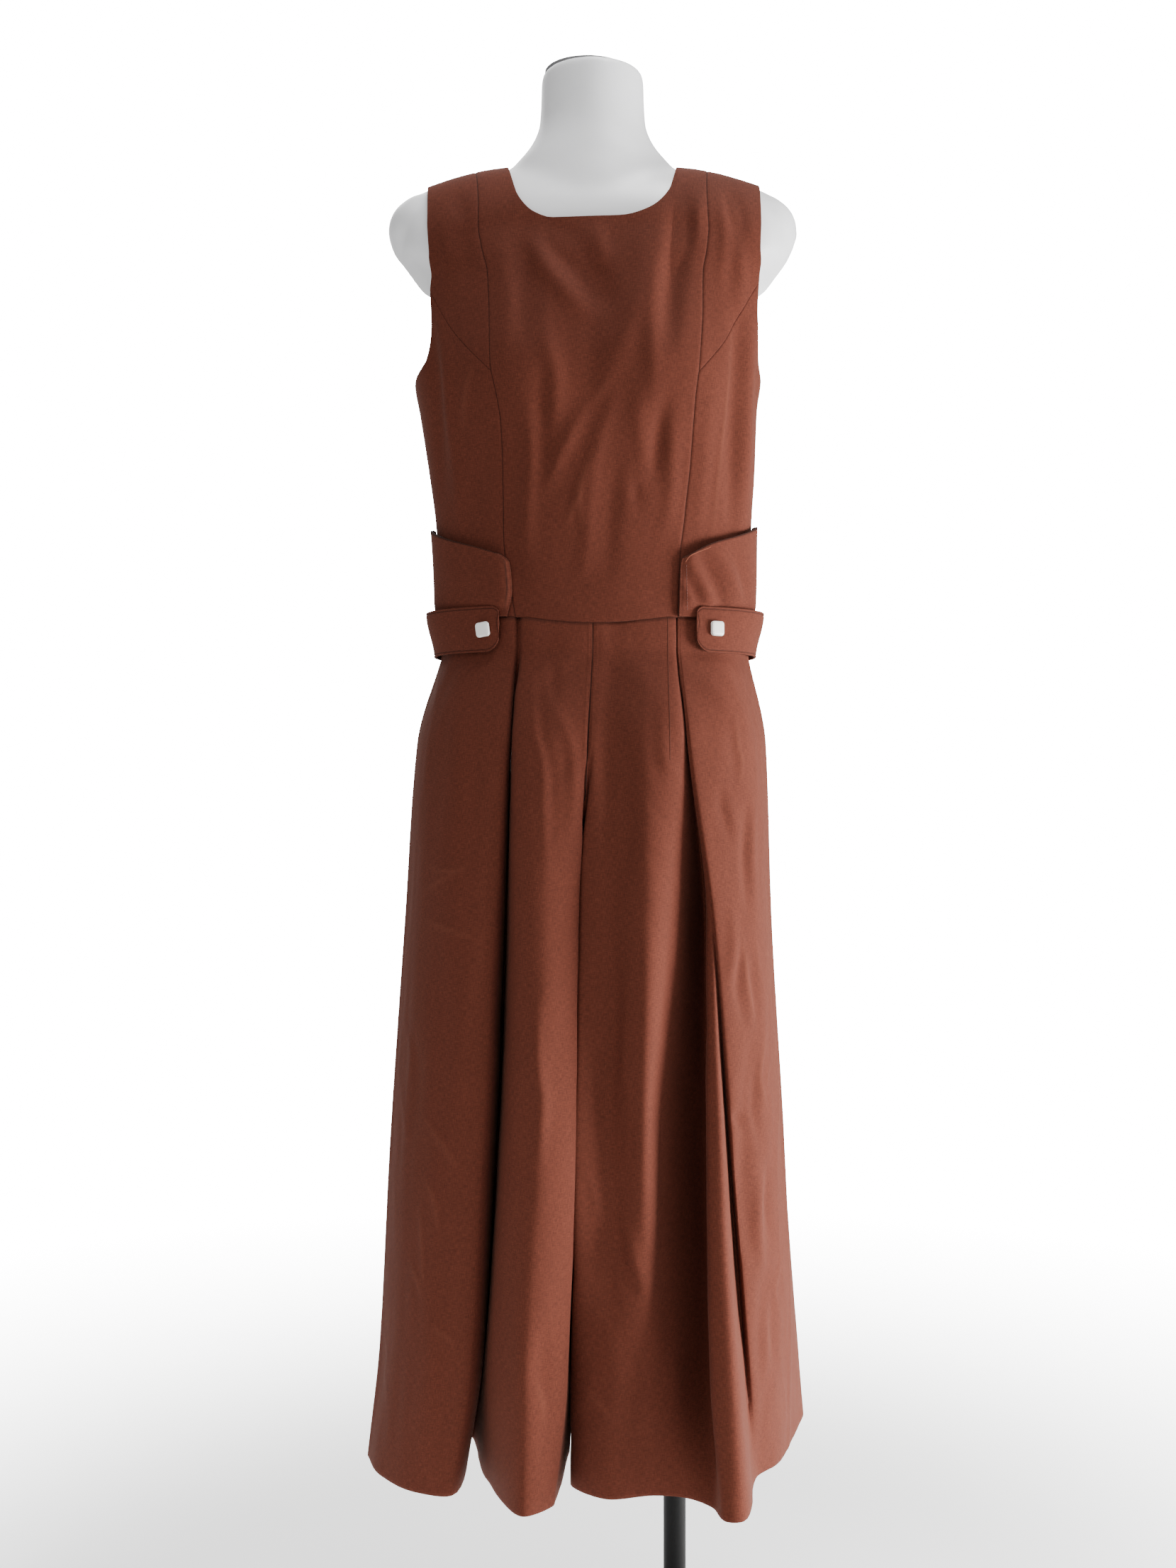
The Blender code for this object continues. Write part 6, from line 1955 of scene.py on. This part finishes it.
# ---- form and stand
@dataclass
class DressForm:
    """The limbless form: torso, arm caps and neck in one skin, and the cap on its neck."""

    bottom: float = 0.890
    gap: float = 2.4 * MM
    voxel: float = 3.4 * MM
    lower: int = 90
    upper: int = 40
    neck: tuple[tuple[float, float, float, float], ...] = (
        (1.4300, 0.0830, 0.0830, 0.0880), (1.4600, 0.0830, 0.0755, 0.0800),
        (1.4838, 0.0800, 0.0675, 0.0720), (1.4965, 0.0680, 0.0640, 0.0665),
        (1.5110, 0.0585, 0.0595, 0.0610), (1.5270, 0.0525, 0.0560, 0.0570),
        (1.5500, 0.0508, 0.0540, 0.0540), (1.5710, 0.0502, 0.0530, 0.0530),
        (1.5770, 0.0488, 0.0515, 0.0515), (1.5795, 0.0460, 0.0485, 0.0485))
    arm_point: Triple = (0.2130, 0.0, 1.4110)
    arm_facing: Triple = (0.66, -0.228, -0.716)
    arm_ball: Triple = (0.1680, 0.0, 1.4230)
    arm_radius: float = 0.036
    arm_deepened: float = 1.3
    arm_flattened: float = 0.7
    arm_soft: float = 4 * MM
    arm_fade: float = 0.02
    arm_below: float = 0.03
    arm_low: float = 1.33
    arm_inner: float = 0.11
    neck_reach: float = 0.135
    neck_heights: tuple[float, float] = (1.40, 1.53)
    neck_fade: tuple[float, float] = (0.03, 0.02)
    ring_places: int = 91
    neck_rings: int = 60

    def torso_points(self) -> tuple[Grid, Grid]:
        """Points and faces of the torso with its arm caps."""
        angles = np.linspace(-QUARTER, QUARTER, self.ring_places)
        rings = []
        for count in range(self.lower + self.upper + 1):
            halves = []
            for side, turns in ((Side.FRONT, angles), (Side.BACK, angles[-2:0:-1])):
                top = BODY.top(np.abs(np.sin(turns)) ** (2 / BODY.exponent))
                if count <= self.lower:
                    level = self.bottom + (top - BODY.roll - self.bottom) * count / self.lower
                else:
                    level = top - BODY.roll * (1 - (count - self.lower) / self.upper)
                narrow = monotone(BODY.ease_heights, BODY.ease_side, level)
                shallow = monotone(BODY.ease_heights, BODY.ease_depth, level)
                point = BODY.point(side, turns, level, narrow, shallow)
                halves.append(point - BODY.normal(side, turns, level) * (CLOTH + self.gap))
            rings.append(np.concatenate(halves))
        grid = np.stack(rings)
        size = grid.shape[1]
        front = len(angles)
        for turn in range(front, size):
            grid[-1, turn] = grid[-1, size - turn]
        grid[-1, :, 1] = 0.0
        return grid.reshape(-1, 3), ring_faces(len(grid), size)

    def neck_points(self, sides: int = 72) -> tuple[Grid, Grid]:
        """Points and faces of the neck."""
        table = np.array(self.neck)
        height = np.linspace(table[0, 0], table[-1, 0], self.neck_rings)
        turn = np.linspace(0, math.tau, sides, endpoint=False)
        side, front, back = (monotone(table[:, 0], column, height)[:, None]
                             for column in table.T[1:])
        deep = np.where(np.sin(turn)[None, :] < 0, front, back)
        grid = np.stack([side * np.cos(turn), deep * np.sin(turn),
                         np.repeat(height[:, None], sides, axis=1)], axis=-1)
        return grid.reshape(-1, 3), ring_faces(len(grid), sides)

    def build(self, finishes: Finishes) -> None:
        """Make the skin and the cap."""
        shape = bmesh.new()
        for points, faces in (self.torso_points(), self.neck_points()):
            verts = [shape.verts.new(point) for point in points]
            for face in faces:
                corners = list(dict.fromkeys(verts[k] for k in face))
                if len(corners) > 2:
                    shape.faces.new(corners)
        for hand in Hand:
            place = Matrix.Translation((hand.value * self.arm_ball[0], *self.arm_ball[1:]))
            size = Matrix.Diagonal((self.arm_radius, self.arm_deepened * self.arm_radius,
                                    self.arm_radius, 1.0))
            bmesh.ops.create_uvsphere(shape, u_segments=36, v_segments=24, radius=1.0,
                                      matrix=place @ size)
        bmesh.ops.remove_doubles(shape, verts=shape.verts, dist=1e-5)
        loops = [edge for edge in shape.edges if edge.is_boundary]
        bmesh.ops.holes_fill(shape, edges=loops, sides=0)
        bmesh.ops.recalc_face_normals(shape, faces=shape.faces)
        mesh = bpy.data.meshes.new("form_torso_skin")
        shape.to_mesh(mesh)
        shape.free()
        skin = add_piece("form_torso_skin", mesh)
        bpy.ops.object.select_all(action="DESELECT")
        bpy.context.view_layer.objects.active = skin
        skin.select_set(True)
        remesh = skin.modifiers.new("one skin", "REMESH")
        remesh.mode, remesh.voxel_size = "VOXEL", self.voxel
        bpy.ops.object.modifier_apply(modifier=remesh.name)
        self.cut_arms(skin.data)
        everywhere = skin.modifiers.new("smooth", "SMOOTH")
        everywhere.factor, everywhere.iterations = 0.5, 4
        bpy.ops.object.modifier_apply(modifier=everywhere.name)
        self.blend_neck(skin)
        bpy.ops.object.shade_smooth()
        hang(coat(skin, finishes.satin_white), ["form_torso"])
        cap = turned_block("form_neck_cap_plate", "form_neck_cap", 0.9 * MM, finishes.grey_cap)
        hang(cap, ["form_neck_cap"])

    def cut_arms(self, mesh: bpy.types.Mesh) -> None:
        """Round each arm cap like a ball, cut flat on its lower side where the arm would join."""
        points = np.empty(len(mesh.vertices) * 3)
        mesh.vertices.foreach_get("co", points)
        points = points.reshape(-1, 3)
        facing = np.array(self.arm_facing)
        facing /= np.linalg.norm(facing)
        for hand in Hand:
            turn = np.array([hand.value, 1.0, 1.0])
            chosen = ((points[:, 2] > self.arm_low)
                      & (points[:, 0] * hand.value > self.arm_inner))
            local = points[chosen] * turn
            away = (local - self.arm_ball) * (1.0, self.arm_flattened, 1.0)
            size = np.linalg.norm(away, axis=-1)
            pull = self.arm_soft * np.logaddexp(0.0, (size - self.arm_radius) / self.arm_soft)
            pull *= (ease(away[:, 0] / self.arm_fade)
                     * ease((away[:, 2] + self.arm_below) / self.arm_fade))
            local -= away * (pull / size)[:, None]
            beyond = ((local - self.arm_point) * facing).sum(axis=-1)
            pull = self.arm_soft * np.logaddexp(0.0, beyond / self.arm_soft)
            points[chosen] = (local - pull[:, None] * facing) * turn
        mesh.vertices.foreach_set("co", points.ravel())
        mesh.update()

    def blend_neck(self, skin: Object) -> None:
        """Smooth the line where the neck runs into the shoulders."""
        group = skin.vertex_groups.new(name="neck line")
        (low, high), (aside, up) = self.neck_heights, self.neck_fade
        for vertex in skin.data.vertices:
            radius = math.hypot(vertex.co.x, vertex.co.y)
            weight = float(ease((self.neck_reach - radius) / aside)
                           * ease((vertex.co.z - low) / up) * ease((high - vertex.co.z) / up))
            if weight > 0:
                group.add([vertex.index], weight, "REPLACE")
        smooth = skin.modifiers.new("neck line", "SMOOTH")
        smooth.vertex_group = group.name
        smooth.factor, smooth.iterations = 0.5, 60
        bpy.ops.object.modifier_apply(modifier=smooth.name)


def turned_block(name: str, node: str, rim: float, finish: Material,
                 sides: int = 128) -> Object:
    """Model a disc or bar with rounded rims, at the place and size of its solid.

    Args:
        name: The piece's name.
        node: The solid.
        rim: Radius of its rounded rims.
        finish: Its material.
        sides: Sides of its circle.

    Returns:
        The object, at the origin.
    """
    low, high = (Vector(corner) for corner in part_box(node))
    height = high.z - low.z
    bpy.ops.object.select_all(action="DESELECT")
    bpy.ops.mesh.primitive_cylinder_add(vertices=sides, radius=(high.x - low.x) / 2,
                                        depth=height, end_fill_type="NGON")
    piece = bpy.context.object
    piece.name = piece.data.name = name
    bpy.ops.object.mode_set(mode="EDIT")
    bevel_edges(piece, lambda edge: abs(edge.verts[0].co.z - edge.verts[1].co.z) < height / 4,
                rim, 5)
    bpy.ops.object.mode_set(mode="OBJECT")
    piece.data.transform(Matrix.Translation((low + high) / 2))
    bpy.ops.object.shade_smooth_by_angle(angle=math.radians(40))
    return coat(piece, finish)


@dataclass
class Stand:
    """Collar, pole and round base, each with the radius of its rounded rims."""

    rims: tuple[tuple[str, float], ...] = (
        ("stand_collar", 1.5 * MM), ("stand_pole", 0.6 * MM), ("stand_base", 3.0 * MM))

    def build(self, finishes: Finishes) -> None:
        """Make the three pieces at the places and sizes of their solids."""
        for node, rim in self.rims:
            hang(turned_block(f"{node}_turned", node, rim, finishes.black_steel),
                 [node])


# ---- studio
@dataclass
class Studio:
    """Camera, soft lights and a pale floor."""

    eye: Triple = (-0.0045, -1.75, 0.88)
    lens: float = 40.69
    sensor: float = 36.0
    clip: tuple[float, float] = (0.05, 60.0)
    aim: Triple = (0.0, 0.0, 0.60)
    floor_radius: float = 2.7
    floor_drop: float = 0.2 * MM
    world: float = 0.45
    backdrop: float = 20.0
    lamps: tuple[tuple[str, Triple, float, float], ...] = (
        ("key", (1.90, -0.32, 0.45), 0.8, 113.0),
        ("top", (0.5, -0.3, 3.2), 1.0, 50.0),
        ("fill", (-1.3, -2.6, 1.8), 2.2, 20.0),
        ("wash", (-1.0, 5.0, 4.0), 4.0, 160.0),
    )

    def build(self, finishes: Finishes) -> None:
        """Set up the camera, the lights, the world and the floor."""
        camera = bpy.data.objects.new("camera", bpy.data.cameras.new("camera"))
        camera.location = self.eye
        camera.rotation_euler = (QUARTER, 0.0, 0.0)
        camera.data.lens = self.lens
        camera.data.sensor_width = self.sensor
        camera.data.clip_start, camera.data.clip_end = self.clip
        bpy.context.scene.collection.objects.link(camera)
        bpy.context.scene.camera = camera
        for name, place, size, power in self.lamps:
            lamp = bpy.data.lights.new(name, "AREA")
            lamp.shape, lamp.size, lamp.energy = "SQUARE", size, power
            light = bpy.data.objects.new(name, lamp)
            light.location = place
            light.rotation_mode = "QUATERNION"
            light.rotation_quaternion = (Vector(self.aim) - Vector(place)).to_track_quat(
                "-Z", "Y")
            light.visible_camera = False
            bpy.context.scene.collection.objects.link(light)
        self.make_world()
        bpy.ops.object.select_all(action="DESELECT")
        bpy.ops.mesh.primitive_circle_add(vertices=96, radius=self.floor_radius,
                                          fill_type="NGON",
                                          location=(0.0, 0.0, -self.floor_drop))
        floor = bpy.context.object
        floor.name = floor.data.name = "floor"
        floor.data.materials.append(finishes.floor)

    def make_world(self) -> None:
        """Make an even soft surround that shows white."""
        world = bpy.data.worlds.new("white surround")
        world.use_nodes = True
        bpy.context.scene.world = world
        tree = world.node_tree
        soft = tree.nodes["Background"]
        soft.inputs["Color"].default_value = linear("#FFFFFF")
        soft.inputs["Strength"].default_value = self.world
        white = add_node(tree, "Background", {"Color": linear("#FFFFFF"),
                                              "Strength": self.backdrop})
        seen = add_node(tree, "LightPath").outputs["Is Camera Ray"]
        shown = add_node(tree, "MixShader", {}, {0: seen, 1: soft.outputs[0],
                                                 2: white.outputs[0]})
        tree.links.new(shown.outputs[0], tree.nodes["World Output"].inputs["Surface"])


def dress_zip_metal(finishes: Finishes) -> None:
    """Give the slider and the pull tab their painted finish."""
    for node in ("zip_slider", "zip_pull"):
        coat(frame["nodes"][node], finishes.zip_metal)


def main() -> None:
    """Build every piece in order."""
    logging.basicConfig(level=logging.INFO, format="%(message)s")
    finishes = Finishes.build()
    Studio().build(finishes)
    DressForm().build(finishes)
    Stand().build(finishes)
    Bodice().build(finishes)
    Flaps().build(finishes)
    Belt().build(finishes)
    Buttons().build(finishes)
    trousers = Trousers()
    trousers.build(finishes)
    Zip().build(trousers, finishes)
    Sewing().build(finishes)
    dress_zip_metal(finishes)


if __name__ == "__main__":
    main()
